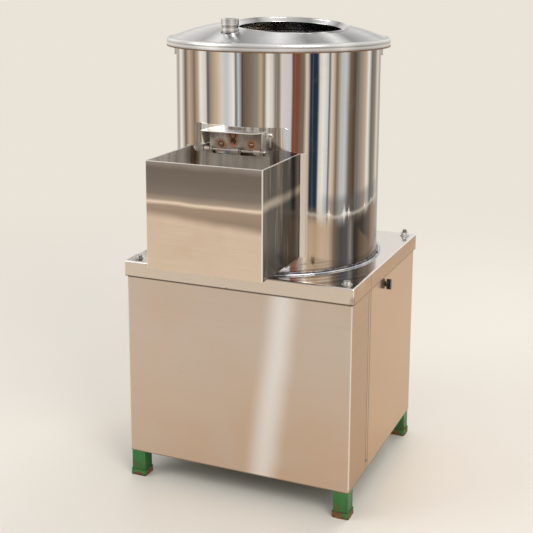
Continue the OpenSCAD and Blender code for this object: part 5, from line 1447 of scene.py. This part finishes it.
class PEELER_OT_stage(bpy.types.Operator):
    """Sets the floor, the soft light and the camera"""

    bl_idname = "peeler.stage"
    bl_label = "Set Stage"

    def execute(self, context):
        stage = context.scene.peeler_stage
        clear_selection()
        bpy.ops.mesh.primitive_plane_add(size=160.0, location=(0.0, 0.0, 0.0))
        floor = named("studio_floor")
        m = Shader("floor_plain")
        cloud = m.noise(1.2, 3.0, 0.5)
        colour = tuple(stage.floor)
        tone = m.mix(cloud.step(0.3, 0.7) * 0.3, colour, toned(colour, 0.95))
        gloss = 0.42 + (cloud - 0.5) * 0.1
        near = m.node("ShaderNodeBsdfPrincipled", None, {"Base Color": tone, "Roughness": gloss})
        far = m.node("ShaderNodeEmission", None, {"Color": toned(colour, 0.98), "Strength": 1.0})
        ray = m.node("ShaderNodeLightPath", out="Is Camera Ray")
        shiny = Socket(m, ray.output.node.outputs["Is Glossy Ray"])
        # Away from the machine the floor turns plain, where it is seen or mirrored
        patch_end, plain_start = 0.8, 3.4
        away = span(*m.axes()[:2]).step(patch_end, plain_start) * ray.most(shiny)
        both = m.node("ShaderNodeMixShader", None, {0: away, 1: near, 2: far})
        m.node("ShaderNodeOutputMaterial", None, {"Surface": both})
        floor.data.materials.append(m.owner)
        self.world(context)
        self.lamps()
        self.camera(context, stage)
        context.scene.view_settings.view_transform = "Standard"
        return {"FINISHED"}

    def world(self, context):
        """A pale room: warm near the horizon, cooler overhead."""
        world = bpy.data.worlds.new("pale_room")
        context.scene.world = world
        m = Shader("pale_room", world)
        ray = m.node("ShaderNodeLightPath", out="Is Camera Ray")
        glossy = Socket(m, ray.output.node.outputs["Is Glossy Ray"])
        place = m.node("ShaderNodeTexCoord", out="Generated")
        x, y, z = m.axes(place)
        room = m.ramp(z.held(), [
            (0.0, shade(214, 190, 158)), (0.12, shade(232, 220, 204)), (0.35, shade(240, 240, 240)),
            (0.7, shade(206, 212, 220)), (1.0, shade(235, 236, 238)),
        ], "EASE")
        wide = m.noise(1.0, 2.0, 0.5, vector=m.vector(x * 1.6, y * 1.6, z * 0.3))
        mirrored = m.mix(wide.step(0.62, 0.42) * 0.25, shade(250, 249, 246), shade(128, 118, 108))
        mirrored = m.mix(z.step(0.06, 0.0) * 0.5, mirrored, shade(196, 172, 142))
        plain = m.node("ShaderNodeBackground", None, {"Color": room, "Strength": 0.86})
        seen = m.node("ShaderNodeBackground", None, {"Color": shade(244, 240, 233), "Strength": 1.0})
        shiny = m.node("ShaderNodeBackground", None, {"Color": mirrored, "Strength": 1.0})
        lit = m.node("ShaderNodeMixShader", None, {0: glossy, 1: plain, 2: shiny})
        mixed = m.node("ShaderNodeMixShader", None, {0: ray, 1: lit, 2: seen})
        m.node("ShaderNodeOutputWorld", None, {"Surface": mixed})

    def lamps(self):
        """Soft boxes: a key at the right, a fill at the left and one from behind."""
        for name, place, aim, size, power, colour in (
            ("key_softbox", (2.6, -2.2, 2.9), (0.0, 0.0, 0.6), 1.8, 62.0, (1.0, 0.97, 0.93)),
            ("fill_softbox", (-2.8, -2.0, 2.2), (0.0, 0.0, 0.6), 2.2, 38.0, (0.95, 0.98, 1.0)),
            ("back_softbox", (0.8, 3.0, 3.0), (0.0, 0.0, 0.9), 1.8, 45.0, (1.0, 0.96, 0.9)),
        ):
            clear_selection()
            bpy.ops.object.light_add(type="AREA", location=place)
            lamp = bpy.context.active_object
            lamp.name = name
            lamp.data.size = size
            lamp.data.energy = power
            lamp.data.color = colour
            lamp.visible_glossy = name != "back_softbox"
            way = Vector(aim) - Vector(place)
            lamp.rotation_euler = way.to_track_quat("-Z", "Y").to_euler()

    def camera(self, context, stage):
        """The camera, set from the stage's own values."""
        clear_selection()
        bpy.ops.object.camera_add(location=tuple(stage.eye))
        camera = bpy.context.active_object
        camera.name = "studio_camera"
        turn = Matrix.Rotation(stage.yaw, 4, "Z") @ Matrix.Rotation(math.pi / 2 - stage.pitch, 4, "X")
        camera.matrix_world = Matrix.Translation(stage.eye) @ turn @ Matrix.Rotation(stage.roll, 4, "Z")
        camera.data.sensor_width = 36.0
        camera.data.lens = stage.lens
        camera.data.shift_y = stage.lift
        camera.data.dof.use_dof = False
        context.scene.camera = camera


OPERATORS = (
    PEELER_OT_frame_finish,
    PEELER_OT_cabinet_finish,
    PEELER_OT_drum_finish,
    PEELER_OT_discharge_finish,
    PEELER_OT_lid_finish,
    PEELER_OT_drive_finish,
    PEELER_OT_fitting_finish,
    PEELER_OT_weld_beads,
    PEELER_OT_louvres,
    PEELER_OT_box_edge,
    PEELER_OT_stud_thread,
    PEELER_OT_abrasive_relief,
    PEELER_OT_stage,
)


class PEELER_PT_panel(bpy.types.Panel):
    """Lists the peeler's sizes, colours and steps"""

    bl_idname = "PEELER_PT_panel"
    bl_label = "Potato Peeler"
    bl_space_type = "VIEW_3D"
    bl_region_type = "UI"
    bl_category = "Peeler"

    def draw(self, context):
        layout = self.layout
        scene = context.scene
        for group in (scene.peeler_colours, scene.peeler_details, scene.peeler_stage):
            box = layout.box()
            for key in group.bl_rna.properties.keys():
                if key not in ("rna_type", "name"):
                    box.prop(group, key)
        for operator in OPERATORS:
            layout.operator(operator.bl_idname)


GROUPS = (PeelerColours, PeelerDetails, PeelerStage)


def register():
    for group in GROUPS:
        bpy.utils.register_class(group)
    bpy.types.Scene.peeler_colours = bpy.props.PointerProperty(type=PeelerColours)
    bpy.types.Scene.peeler_details = bpy.props.PointerProperty(type=PeelerDetails)
    bpy.types.Scene.peeler_stage = bpy.props.PointerProperty(type=PeelerStage)
    for operator in OPERATORS:
        bpy.utils.register_class(operator)
    bpy.utils.register_class(PEELER_PT_panel)


def unregister():
    bpy.utils.unregister_class(PEELER_PT_panel)
    for operator in reversed(OPERATORS):
        bpy.utils.unregister_class(operator)
    del bpy.types.Scene.peeler_stage
    del bpy.types.Scene.peeler_details
    del bpy.types.Scene.peeler_colours
    for group in reversed(GROUPS):
        bpy.utils.unregister_class(group)


def main():
    register()
    for operator in OPERATORS:
        group, step = operator.bl_idname.split(".")
        getattr(getattr(bpy.ops, group), step)()


if __name__ == "__main__":
    main()
